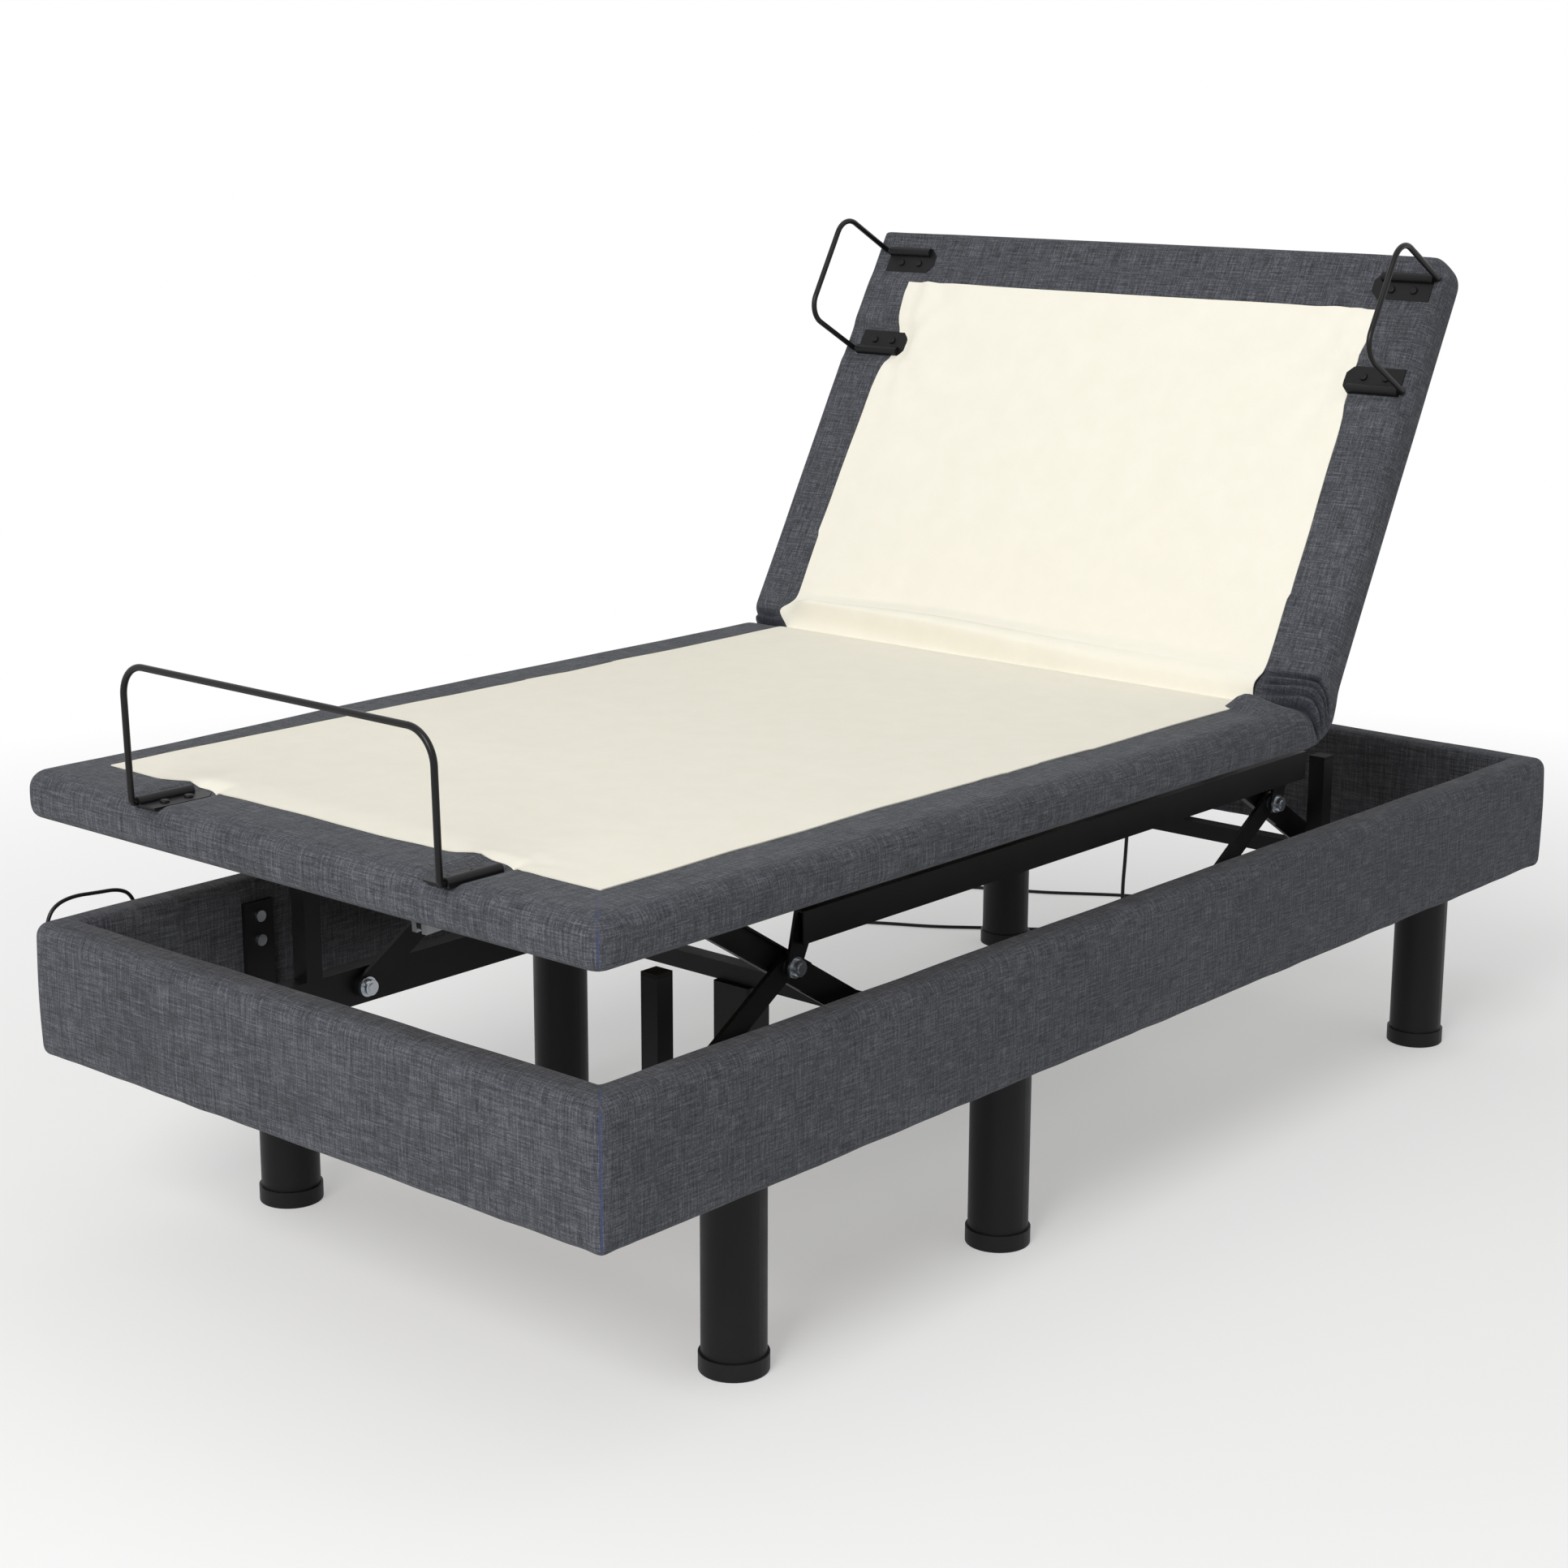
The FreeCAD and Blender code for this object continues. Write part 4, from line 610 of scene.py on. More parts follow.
# ------------------------------------------------------------------ camera and studio
@dataclass
class Studio:
    """Camera, floor, world and soft lamps."""

    camera_place: Place = (2.4173, -2.9554, 1.4162)
    camera_turn: float = 41.11
    camera_fall: float = 13.70
    camera_roll: float = 0.15
    lens: float = 66.60
    sensor: float = 36.0
    ambient: float = 0.46
    floor_size: float = 60.0
    floor_colour: str = "#F1F1F0"
    white_radii: Pair = (1.2, 3.0)    # where the floor starts and ends its change to white
    near_white: float = 0.35

    def build(self) -> None:
        """Set up everything that isn't the object."""
        self.build_camera()
        self.build_floor()
        self.build_world()
        self.lamp("key_softbox", (1.7, -6.0, 4.4), (0.0, -0.1, 0.5), 3.0, 345.0)
        self.lamp("top_softbox", (0.2, 0.4, 4.8), (0.0, 0.0, 0.4), 3.5, 22.0)
        bpy.context.scene.view_settings.view_transform = "Standard"

    def build_camera(self) -> None:
        """Place the camera at the viewing angle."""
        turn, fall_angle, roll = (
            math.radians(a) for a in (self.camera_turn, self.camera_fall, self.camera_roll))
        level = math.cos(fall_angle)
        back = Vector((math.sin(turn) * level, -math.cos(turn) * level, math.sin(fall_angle)))
        right = Vector((0.0, 0.0, 1.0)).cross(back).normalized()
        above = back.cross(right)
        turned_right = right * math.cos(roll) + above * math.sin(roll)
        turned_above = above * math.cos(roll) - right * math.sin(roll)
        data = bpy.data.cameras.new("view")
        data.lens = self.lens
        data.sensor_width = self.sensor
        data.clip_end = self.floor_size
        camera = bpy.data.objects.new("view", data)
        bpy.context.scene.collection.objects.link(camera)
        axes = Matrix((turned_right, turned_above, back)).transposed().to_4x4()
        camera.matrix_world = Matrix.Translation(self.camera_place) @ axes
        bpy.context.scene.camera = camera

    def build_floor(self) -> None:
        """Lay a plain pale floor that turns white away from the object."""
        bpy.ops.mesh.primitive_plane_add(size=self.floor_size, location=(0.0, 0.0, 0.0))
        floor = bpy.context.object
        floor.name = "studio_floor"
        material, add = new_material("pale_studio_floor")
        set_surface(material, {
            "Base Color": srgb(self.floor_colour), "Roughness": 0.9, "Specular IOR Level": 0.1})
        nodes = material.node_tree.nodes
        place = add("TexCoord").outputs["Object"]
        away = add("VectorMath", {0: place}, operation="LENGTH")
        share = add("MapRange", {
            "Value": away.outputs["Value"], "From Min": self.white_radii[0],
            "From Max": self.white_radii[1], "To Min": self.near_white, "To Max": 1.0})
        white = add("Math", {0: self.seen_rays(add), 1: share}, operation="MULTIPLY")
        glow = add("Emission", {"Color": WHITE, "Strength": 1.0})
        mixed = add("MixShader", {0: white, 1: nodes["Principled BSDF"], 2: glow})
        set_inputs(material.node_tree, nodes["Material Output"], {"Surface": mixed})
        floor.data.materials.append(material)

    def build_world(self) -> None:
        """White behind everything the camera and mirrors see, plain ambient light for the rest."""
        world = bpy.data.worlds.new("studio")
        bpy.context.scene.world = world
        world.use_nodes = True
        tree = world.node_tree
        tree.nodes.clear()
        add = partial(add_node, tree)
        strength = add("MapRange", {"Value": self.seen_rays(add), "To Min": self.ambient, "To Max": 1.0})
        background = add("Background", {"Color": WHITE, "Strength": strength})
        add("OutputWorld", {"Surface": background})

    def seen_rays(self, add: Adder) -> Node:
        """Give 1 for rays from the camera or off a mirror or through glass, else 0.

        Args:
            add: what adds a node to the tree.

        Returns:
            The node that holds the answer.
        """
        rays = add("LightPath").outputs
        seen = add("Math", {0: rays["Is Camera Ray"], 1: rays["Is Glossy Ray"]}, operation="MAXIMUM")
        return add("Math", {0: seen, 1: rays["Is Transmission Ray"]}, operation="MAXIMUM")

    def lamp(self, name: str, place: Place, target: Place, size: float, power: float) -> None:
        """Hang one square softbox that faces a point.

        Args:
            name: the lamp's name.
            place: its centre.
            target: what it faces.
            size: the length of its sides.
            power: its power in watts.
        """
        data = bpy.data.lights.new(name, "AREA")
        data.size = size
        data.energy = power
        light = bpy.data.objects.new(name, data)
        bpy.context.scene.collection.objects.link(light)
        aim = (Vector(target) - Vector(place)).to_track_quat("-Z", "Y").to_matrix().to_4x4()
        light.matrix_world = Matrix.Translation(place) @ aim


# ------------------------------------------------------------------ cords
FLOOR_Z = 3.3   # a lying cord's middle, in millimetres as the routes are
MAINS_ROUTE = [
    (-129, 800, 246), (-130, 799, 200), (-134, 799, 145), (-131, 798, 88), (-128, 808, 38), (-138, 846, 8),
    *((x, y, FLOOR_Z) for x, y in (
        (-160, 896), (-206, 942), (-270, 966), (-334, 948), (-392, 903), (-456, 858), (-524, 805),
        (-598, 768), (-668, 724), (-738, 728), (-786, 778), (-792, 848), (-756, 912), (-712, 974),
        (-652, 1034), (-580, 1072), (-508, 1106), (-446, 1150), (-382, 1192), (-306, 1216),
        (-232, 1224), (-172, 1222))),
]
SERVICE_ROUTE = [
    (-490, -990, 402), (-490, -988, 418), (-490, -974, 433), (-490, -948, 438), (-490, -915, 435),
    (-490, -882, 433), (-490, -862, 421), (-490, -857, 402),
]


@dataclass
class Cord:
    """One flexible cord on one smooth open spline."""

    name: str
    points: list[Place]
    diameter: float
    length: float
    far_end: str
    nodes: tuple[str, ...]
    carried: tuple[str, ...] = ()

    def build(self, finishes: Finishes) -> None:
        """Args:
            finishes: the object's materials.
        """
        data = bpy.data.curves.new(self.name, "CURVE")
        data.dimensions = "3D"
        data.bevel_depth = self.diameter / 2.0
        data.bevel_resolution = 4
        data.resolution_u = 10
        data.use_fill_caps = True
        spline = data.splines.new("NURBS")
        spline.points.add(len(self.points) - 1)
        for target, place in zip(spline.points, self.points):
            target.co = (place[0] * MM, place[1] * MM, place[2] * MM, 1.0)
        spline.order_u = 3
        spline.use_endpoint_u = True
        cord = bpy.data.objects.new(self.name, data)
        bpy.context.scene.collection.objects.link(cord)
        finishes.dress(cord, "cord_rubber")
        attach(cord, "base")
        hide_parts(*self.nodes)
        [v * MM for v in self.points[0]]
        list(self.carried)
        LOG.info("cord %s", self.name)


@dataclass
class MainsCoil:
    """The stored length of the mains cord, wound flat with its last turn on top; in millimetres."""

    centre: Pair = (-130.0, 1180.0)
    outer: float = 39.0
    pitch: float = 6.5
    steps: int = 14              # control points in one turn
    turns: float = 3.0
    flat_turns: float = 2.33
    top_from: float = 2.55       # the turn at which the cord lies wholly on top
    widened_over: float = 0.3    # of a turn, until it has the top turn's radius
    top_radius: float = 33.0
    lift: float = 6.3
    neck: tuple[Place, ...] = (
        (-117.5, 1213.0, 9.6), (-108.5, 1207.5, 9.6), (-104.0, 1199.0, 9.5), (-101.5, 1189.5, 9.3),
        (-96.5, 1182.0, 9.1), (-88.0, 1180.0, 9.0), (-84.0, 1180.0, 9.0))

    def points(self) -> list[Place]:
        """Control points from where the route meets the coil to the plug's neck.

        Returns:
            The places in millimetres.
        """
        made = []
        draw_in = math.cos(math.pi / self.steps) ** 0.9   # the spline runs inside its control points
        low = self.outer - self.pitch * self.flat_turns
        count = int(self.turns * self.steps)
        for i in range(count + 1):
            turn = i * self.turns / count
            angle = math.radians(90.0) - turn * 2.0 * math.pi
            up = min(1.0, max(0.0, (turn - self.flat_turns) / (self.top_from - self.flat_turns)))
            out = min(1.0, max(0.0, (turn - self.top_from) / self.widened_over))
            radius = self.outer - self.pitch * turn
            if turn > self.flat_turns:
                radius = low + (self.top_radius - low) * out
            radius /= draw_in
            made.append((self.centre[0] + radius * math.cos(angle), self.centre[1] + radius * math.sin(angle),
                         FLOOR_Z + self.lift * up))
        return made + list(self.neck)


# ------------------------------------------------------------------ deck
@dataclass
class DeckForm:
    """The deck's flat cloth plan, and how it bends at the back hinge.

    Flat places are x across, s along from foot to head, and h above the deck's underside.
    """

    halves: Pair = (HALF_WIDTH, HALF_LENGTH)
    bottom: float = 0.552
    thick: float = 59.0 * MM
    hinge: float = 0.336
    angle: float = math.radians(61.0)
    lean_run: float = 0.125      # how far from the hinge the cloth's sections start to lean
    crease: Hump = Hump(5.0 * MM, 0.0, 16.0 * MM)
    # The lower rim lies higher at the hinge and lower beside it, up to a share of the thickness.
    rims: tuple[Hump, ...] = (Hump(5.0 * MM, 0.0, 13.0 * MM), Hump(-2.5 * MM, 0.0, 36.0 * MM))
    rim_share: float = 0.7
    felt_half: float = 0.408
    felt_foot: float = -0.937
    felt_head: float = 0.941
    clamps: tuple[tuple[float, float, float, float], ...] = (
        (-0.267, -0.227, -1.015, -0.925), (0.227, 0.267, -1.015, -0.925),
        (-0.471, -0.381, 0.820, 0.860), (0.381, 0.471, 0.820, 0.860),
        (-0.471, -0.381, 0.960, 1.000), (0.381, 0.471, 0.960, 1.000))
    clamp_dip: float = 6.7 * MM
    dip_run: float = 20.0 * MM
    broad_wave: Wave = Wave(0.9 * MM, 5.0, 5.0, 3.1)
    fine_wave: Wave = Wave(0.35 * MM, 17.0, 17.0, 7.7)
    clamp_wave: Wave = Wave(1.6 * MM, 34.0, 60.0, 1.3)
    clamp_reach: Hump = Hump(1.0, 0.0, 60.0 * MM)
    still_run: float = 18.0 * MM   # the cloth lies even this near to a clamp
    pinches: tuple[Hump, ...] = (Hump(15.0 * MM, 0.840, 0.046), Hump(5.0 * MM, 0.980, 0.040))
    tucks: tuple[Hump, ...] = (Hump(6.0 * MM, -0.040, 0.042, 4), Hump(8.0 * MM, 0.018, 0.024))
    tip: Hump = Hump(-25.0 * MM, 0.024, 0.020)
    foot_curves: tuple[Hump, ...] = (Hump(18.0 * MM, -0.262, 0.041, 4), Hump(18.0 * MM, 0.236, 0.041, 4))
    bed: float = 1.9 * MM        # how far the linen under the felt lies lower than beside it
    deep_bed: float = 2.2 * MM   # and how much lower again further in
    bed_margin: float = 12.0 * MM
    foot_margin: float = 14.0 * MM
    roll_bed: Hump = Hump(6.0 * MM, 0.045, 50.0 * MM)

    def clamp_gap(self, x: Array, s: Array) -> Array:
        """Distance from each flat place to the nearest clamp plate, up to a metre.

        Args:
            x: crosswise places on the flat deck.
            s: lengthwise places on the flat deck.

        Returns:
            The distance for each place.
        """
        best = np.full(x.shape, 1.0)
        for x0, x1, s0, s1 in self.clamps:
            dx = np.maximum(np.maximum(x0 - x, x - x1), 0.0)
            ds = np.maximum(np.maximum(s0 - s, s - s1), 0.0)
            best = np.minimum(best, np.hypot(dx, ds))
        return best

    def dip(self, x: Array, s: Array) -> Array:
        """How far the padding is pressed down beside the clamps."""
        return self.clamp_dip * (1.0 - rise(self.clamp_gap(x, s), 0.5 * MM, self.dip_run))

    def swell(self, x: Array, s: Array) -> Array:
        """Soft unevenness of the padded top, felt and linen alike.

        Args:
            x: crosswise places on the flat deck.
            s: lengthwise places on the flat deck.

        Returns:
            The rise for each place.
        """
        gap = self.clamp_gap(x, s)
        pulls = self.clamp_wave.at(x, s) * self.clamp_reach.at(gap)
        return (self.broad_wave.at(x, s) + self.fine_wave.at(x, s) + pulls) * rise(gap, 0.0, self.still_run)

    def side_inset(self, s: Array, side: Array | float) -> Array:
        """How far a long edge of the felt draws in; side is 1 on the right and -1 on the left.

        Args:
            s: lengthwise places on the flat deck.
            side: which long edge is meant.

        Returns:
            The inset for each place.
        """
        off = s - self.hinge
        return heights(self.pinches, s) + np.where(
            np.asarray(side) > 0, heights(self.tucks, off), self.tip.at(off))

    def foot_curve(self, x: Array) -> Array:
        """How far the felt's foot edge draws in round the two foot clamps."""
        return heights(self.foot_curves, x)

    def recess(self, x: Array, s: Array) -> Array:
        """How far the linen under the felt sinks, so that the felt lies clear of it.

        Args:
            x: crosswise places on the flat deck.
            s: lengthwise places on the flat deck.

        Returns:
            The depth for each place.
        """
        inside = np.minimum(self.felt_half - self.side_inset(s, np.sign(x)) - self.bed_margin - np.abs(x),
                            np.minimum(s - self.felt_foot - self.foot_curve(x) - self.foot_margin,
                                       self.felt_head - self.bed_margin - s))
        deep = np.minimum(inside - 6.0 * MM, self.clamp_gap(x, s) - 28.0 * MM)
        return self.bed * rise(inside, 0.0, 7.0 * MM) \
            + (self.deep_bed + self.roll_bed.at(s - self.hinge)) * rise(deep, 0.0, 12.0 * MM)

    def bend(self, x: Array, s: Array, h: Array) -> Array:
        """Carry flat places to where they lie with the back raised.

        Args:
            x: places across.
            s: places along the flat cloth.
            h: heights above the deck's underside.

        Returns:
            Places in the row frame.
        """
        off, slope = s - self.hinge, math.tan(self.angle / 2.0)
        h = h - self.crease.at(off) * np.clip(h / self.thick, 0.0, 1.2) ** 2
        h = h + heights(self.rims, off) * np.clip(1.0 - h / (self.rim_share * self.thick), 0.0, 1.0)
        y_seat = s - h * slope * rise(1.0 + off / self.lean_run)
        t = off + h * slope * rise(1.0 - off / self.lean_run)
        y_back = self.hinge + t * math.cos(self.angle) - h * math.sin(self.angle)
        z_back = self.bottom + t * math.sin(self.angle) + h * math.cos(self.angle)
        y, z = np.where(off > 0, (y_back, z_back), (y_seat, self.bottom + h))
        return np.stack([x, y, z], axis=1)


@dataclass
class DeckCover:
    """A linen cover over part of the deck: pad, rounded edges and side walls, open below."""

    name: str
    start: float
    end: float
    nodes: tuple[str, ...]
    bodies: tuple[str, ...]
    form: DeckForm
    pad: float = 8.0 * MM
    apron: float = 20.0 * MM
    edge_radius: float = 22.0 * MM
    sharper: float = 12.0 * MM       # how much smaller that radius is on the far side and at the head
    low_radius: float = 15.0 * MM
    rim: float = 60.0 * MM           # how far in from its edge the cover is shaped
    foot_corner: float = 22.0 * MM   # corner radii in plan
    near_corner: float = 28.0 * MM
    far_corner: float = 9.0 * MM
    far_out: float = 4.0 * MM        # how far the sides and the head stand out of the plain form
    far_back_out: float = 11.0 * MM
    near_out: float = 13.0 * MM
    near_taper: float = 11.0 * MM
    head_out: float = 11.0 * MM
    far_zone: Ramp = Ramp(0.30, 0.10)        # where these forms set in: across
    far_from_foot: Ramp = Ramp(-0.80, 0.30)  # along
    head_zone: Ramp = Ramp(-0.070, 0.055)    # from the head end
    head_edge: Ramp = Ramp(-0.080, 0.078)
    back_zone: Ramp = Ramp(-0.010, 0.050)    # from the hinge
    far_edge: Ramp = Ramp(0.40, 0.06)        # across
    near_edge: Ramp = Ramp(0.41, 0.06)
    belly: float = 1.2 * MM
    wall_wave: Wave = Wave(0.8 * MM, 7.0, 1.0, 5.0)
    fold_pitch: float = 19.0 * MM
    fold_cut: float = 9.0 * MM       # depth of a crease
    fold_width: float = 5.2 * MM
    fold_drawn: float = 0.26         # share of the folds' pitch that is left at the lower rim
    fold_sway: Wave = Wave(0.55, 13.0, 9.0, 2.2)
    fold_change: Wave = Wave(0.55, 3.7, 1.0, 5.5)
    fold_counts: Pair = (3.0, 1.0)   # the last fold's number on the near and the far side
    fold_starts: Pair = (0.404, 0.434)
    # where the painted shade along the hinge valley sets in across, and how far it reaches along
    painted_shade_starts: Pair = (0.388, 0.418)
    painted_shade_reach: Pair = (7.0 * MM, 16.0 * MM)
    start_run: float = 14.0 * MM
    fold_foot: float = 0.34          # share of the thickness over which the folds die out below
    puff: Hump = Hump(3.6 * MM, 0.030, 40.0 * MM, 4)
    knot: Hump = Hump(2.0 * MM, 0.008, 12.0 * MM)
    bulge: Hump = Hump(1.0 * MM, 0.0, 38.0 * MM)
    bulge_out: float = 3.0
    bulge_up: float = 2.0
    border: Ramp = Ramp(4.0 * MM, 12.0 * MM)         # out from the felt's edge
    knot_border: Ramp = Ramp(0.430, 0.014)
    pucker: float = 18.0 * MM
    pucker_start: Ramp = Ramp(-0.096, 0.018)         # along, from the hinge
    pucker_low: Ramp = Ramp(-0.040, 0.036)           # where it is half as high
    pucker_end: Ramp = Ramp(-0.003, 0.012)
    pucker_inner: Ramp = Ramp(-2.0 * MM, 10.0 * MM)  # out from the felt's edge
    pucker_outer: Ramp = Ramp(16.0 * MM, 56.0 * MM)
    long_cuts: tuple[float, ...] = (2.5, 6, 10, 15, 22, 32, 42, 52, 62, 74, 88, 102, 130, 160, 200)
    middle_cuts: tuple[float, ...] = (
        0.29, 0.28, 0.27, 0.262, 0.247, 0.232, 0.224, 0.214, 0.204, 0.16, 0.12, 0.08, 0.04)
    foot_cuts: tuple[float, ...] = (2.5, 6, 10, 15, 22, 30, 38, 46, 54, 62, 70, 78, 86, 94, 102, 112)
    head_cuts: tuple[float, ...] = (2.5, 6, 10, 15, 20, 25, 30, 35, 40, 45, 50, 55, 60, 67, 75)
    clamp_middle: float = 0.504      # of the lower side clamps, from the hinge
    hinge_cuts: tuple[Place, ...] = (
        (-0.028, 0.078, 2.0 * MM), (-0.072, -0.030, 5.0 * MM), (0.083, 0.12, 6.0 * MM))
    wall_cuts: tuple[float, ...] = (3, 8, 16, 24, 31, 37, 42, 47, 54)
    plain_step: float = 16.0 * MM

    @property
    def foot_end(self) -> bool:
        """Whether the cover holds the foot edge."""
        return self.start < -self.form.halves[1] + 1e-6

    @property
    def head_end(self) -> bool:
        """Whether the cover holds the head edge."""
        return self.end > self.form.halves[1] - 1e-6

    def lines_across(self) -> list[float]:
        """Places of the lengthwise cuts."""
        right = [self.form.halves[0] - d * MM for d in self.long_cuts] + list(self.middle_cuts)
        return [-v for v in right] + right + [0.0]

    def lines_along(self) -> list[float]:
        """Places of the crosswise cuts, closest together at hinges, clamps and ends.

        Returns:
            The places in rising order.
        """
        hinge, made = self.form.hinge, []
        if self.foot_end:
            made += [self.start + d * MM for d in self.foot_cuts]
        if self.head_end:
            made += [self.end - d * MM for d in self.head_cuts]
            made += [hinge + self.clamp_middle + d * MM for d in range(-44, 45, 5)]
        if self.end > hinge:
            for run in self.hinge_cuts:
                made += list(hinge + np.arange(*run))
        for place in np.arange(-1.0, 1.0, self.plain_step):
            if all(abs(place - other) > 6.5 * MM for other in made):
                made.append(float(place))
        return sorted(v for v in made if self.start + 1e-4 < v < self.end - 1e-4)

    def build(self, finishes: Finishes) -> Object:
        """Model the cover flat, round and sculpt it, then bend it into place.

        Args:
            finishes: the object's materials.

        Returns:
            The finished cover.
        """
        half, thick = self.form.halves[0], self.form.thick
        bpy.ops.object.select_all(action="DESELECT")
        middle, span = (self.start + self.end) / 2.0, self.end - self.start
        bpy.ops.mesh.primitive_cube_add(size=1.0, location=(0.0, middle, thick - self.pad / 2.0),
                                        scale=(2.0 * half, span, self.pad))
        cover = bpy.context.object
        cover.name = self.name
        only(cover)
        bpy.ops.object.transform_apply(location=True, rotation=True, scale=True)
        bpy.ops.object.mode_set(mode="EDIT")
        wall = half - self.apron
        cut_planes(0, (-wall, wall))
        ends = ((self.start, self.foot_end), (self.end, self.head_end))
        low, high = self.start + self.apron * self.foot_end, self.end - self.apron * self.head_end
        cut_planes(1, [v for v, (_, outer) in zip((low, high), ends) if outer])

        def on_rim(face: bmesh.types.BMFace) -> bool:
            """Whether a face is on the rim of the underside."""
            centre = face.calc_center_median()
            return face.normal.z < -0.9 and (abs(centre.x) > wall or centre.y < low or centre.y > high)

        pick(cover, Element.FACE, on_rim)
        bpy.ops.mesh.extrude_region_move(TRANSFORM_OT_translate={"value": (0.0, 0.0, self.pad - thick)})
        cut_planes(0, self.lines_across())
        cut_planes(1, self.lines_along())
        cut_planes(2, [v * MM for v in self.wall_cuts])
        weld()
        butts = [place for place, outer in ends if not outer]

        def on_butt_rim(edge: bmesh.types.BMEdge) -> bool:
            """Whether an edge borders the face that meets the next cover."""
            at_end = any(all(abs(v.co.y - place) < 1e-5 for v in edge.verts) for place in butts)
            return at_end and any(abs(f.normal.y) < 0.5 for f in edge.link_faces)

        pick(cover, Element.EDGE, on_butt_rim)
        bpy.ops.transform.edge_crease(value=1.0)
        bpy.ops.object.mode_set(mode="OBJECT")
        flat = points_of(cover)
        keep(cover, "cloth_place", flat)
        # painted shade of the creases and the hinge valley, which darkens the linen's colour
        keep(cover, "fold_depth", self.fold_depth(*flat.T))
        put_points(cover, self.shape(*flat.T))
        finish_mesh(cover, 60.0, "SUBSURF", levels=1, render_levels=1)
        finishes.dress(cover, "linen_fabric")
        LOG.info("cover %s: %d faces", self.name, len(cover.data.polygons))
        return cover

    def shape(self, x: Array, s: Array, h: Array) -> Array:
        """Round the edges, press in the clamps, gather the hinge and bend the cloth.

        Args:
            x: unrounded flat places across.
            s: unrounded flat places along.
            h: unrounded heights.

        Returns:
            Places in the row frame.
        """
        form, (half, end) = self.form, self.form.halves
        depth = np.clip(np.minimum(half - np.abs(x), end - np.abs(s)), 0.0, self.rim)
        far_side = self.far_zone.at(-x) * self.far_from_foot.at(s)
        top_radius = self.edge_radius - self.sharper * np.maximum(far_side, self.head_zone.at(s - end))
        face_out = np.clip(1.0 - depth / top_radius, 0.0, 1.0)
        face_up = np.clip(1.0 - (form.thick - h) / top_radius, 0.0, 1.0)
        length = np.maximum(np.hypot(face_out, face_up), TINY)
        face_out, face_up = face_out / length, face_up / length
        new_depth, below = round_edge(depth, form.thick - h, top_radius)
        new_depth, above = round_edge(new_depth, form.thick - below, self.low_radius)
        corner = np.where(s < 0, self.foot_corner, np.where(x > 0, self.near_corner, self.far_corner))
        plan_x, plan_s, way_x, way_s = lay_out(
            np.abs(x), np.abs(s), new_depth, form.halves, corner, depth >= self.rim - TINY)
        push_out, push_up = self.pushes(x, s, h)
        amount = push_out * face_out + push_up * face_up
        px = np.sign(x) * (plan_x + way_x * face_out * amount)
        ps = np.sign(s) * (plan_s + way_s * face_out * amount)
        on_back = self.back_zone.at(s - form.hinge)
        up_back = np.clip((s - form.hinge) / (end - form.hinge), 0.0, 1.0)
        px -= (self.far_out + self.far_back_out * on_back) * far_side * self.far_edge.at(-x)
        px += (self.near_out - self.near_taper * up_back) * on_back * self.near_edge.at(x)
        ps += self.head_out * self.head_edge.at(s - end)
        hidden = (np.abs(x) <= half - self.apron + 0.1 * MM) & (h <= form.thick - self.pad + 0.1 * MM)
        if self.foot_end:
            hidden &= s >= -end + self.apron - 0.1 * MM
        if self.head_end:
            hidden &= s <= end - self.apron + 0.1 * MM
        new_h = above + face_up * amount
        return form.bend(np.where(hidden, x, px), np.where(hidden, s, ps), np.where(hidden, h, new_h))

    def pushes(self, x: Array, s: Array, h: Array) -> tuple[Array, Array]:
        """How far the cloth stands out of its plain form.

        Args:
            x: flat places across.
            s: flat places along.
            h: flat heights.

        Returns:
            The push on upright walls and the push on the top.
        """
        form = self.form
        top = form.swell(x, s) - form.dip(x, s) - form.recess(x, s)
        side = self.wall_wave.at(s, h * 30.0 + x)
        side += self.belly * np.sin(np.pi * np.clip(h / form.thick, 0, 1))
        off = s - form.hinge
        in_border = x - (form.felt_half - form.side_inset(s, 1.0))
        border = self.border.at(in_border)
        bulge = self.bulge.at(off) * border
        pucker = self.pucker * self.pucker_start.at(off) * (1.0 - 0.5 * self.pucker_low.at(off)) \
            * (1.0 - self.pucker_end.at(off)) \
            * self.pucker_inner.at(in_border) * (1.0 - self.pucker_outer.at(in_border))
        gather = self.puff.at(off) * border + self.knot.at(off) * self.knot_border.at(-x) \
            - self.fold_cut * self.creases(x, s, h)
        return side + gather + self.bulge_out * bulge, top + gather + self.bulge_up * bulge + pucker

    def creases(self, x: Array, s: Array, h: Array) -> Array:
        """Creases of the gathered linen above the back hinge.

        They run across the border and turn down the side wall, where they draw together.

        Args:
            x: flat places across.
            s: flat places along.
            h: flat heights.

        Returns:
            1 in the bottom of a crease and 0 away from it.
        """
        form = self.form
        draw = self.fold_drawn + (1.0 - self.fold_drawn) * np.clip(h / form.thick, 0.0, 1.0)
        pitch = self.fold_pitch * draw
        step = (s - form.hinge - 1.0 * MM) / pitch + self.fold_sway.at(x, s)
        number = np.clip(np.rint(step), 0.0, np.where(x > 0, *self.fold_counts))
        gap = np.abs(step - number) * pitch
        strength = 0.75 + self.fold_change.at(number, x * 24.0 + h * 20.0)
        border = rise(np.abs(x), np.where(x > 0, *self.fold_starts), self.start_run)
        border = border * rise(h, 0.0, self.fold_foot * form.thick)
        valley = Hump(1.0, 0.0, self.fold_width * draw + 0.8 * MM).at(gap)
        return valley * np.clip(strength, 0.2, 1.0) * border

    def fold_depth(self, x: Array, s: Array, h: Array) -> Array:
        """Painted shade: where the linen's colour is darkened in its creases and along the hinge valley.

        Args:
            x: crosswise places on the flat deck.
            s: lengthwise places on the flat deck.
            h: heights above the deck's underside.

        Returns:
            A share from 0 to 1 for each place.
        """
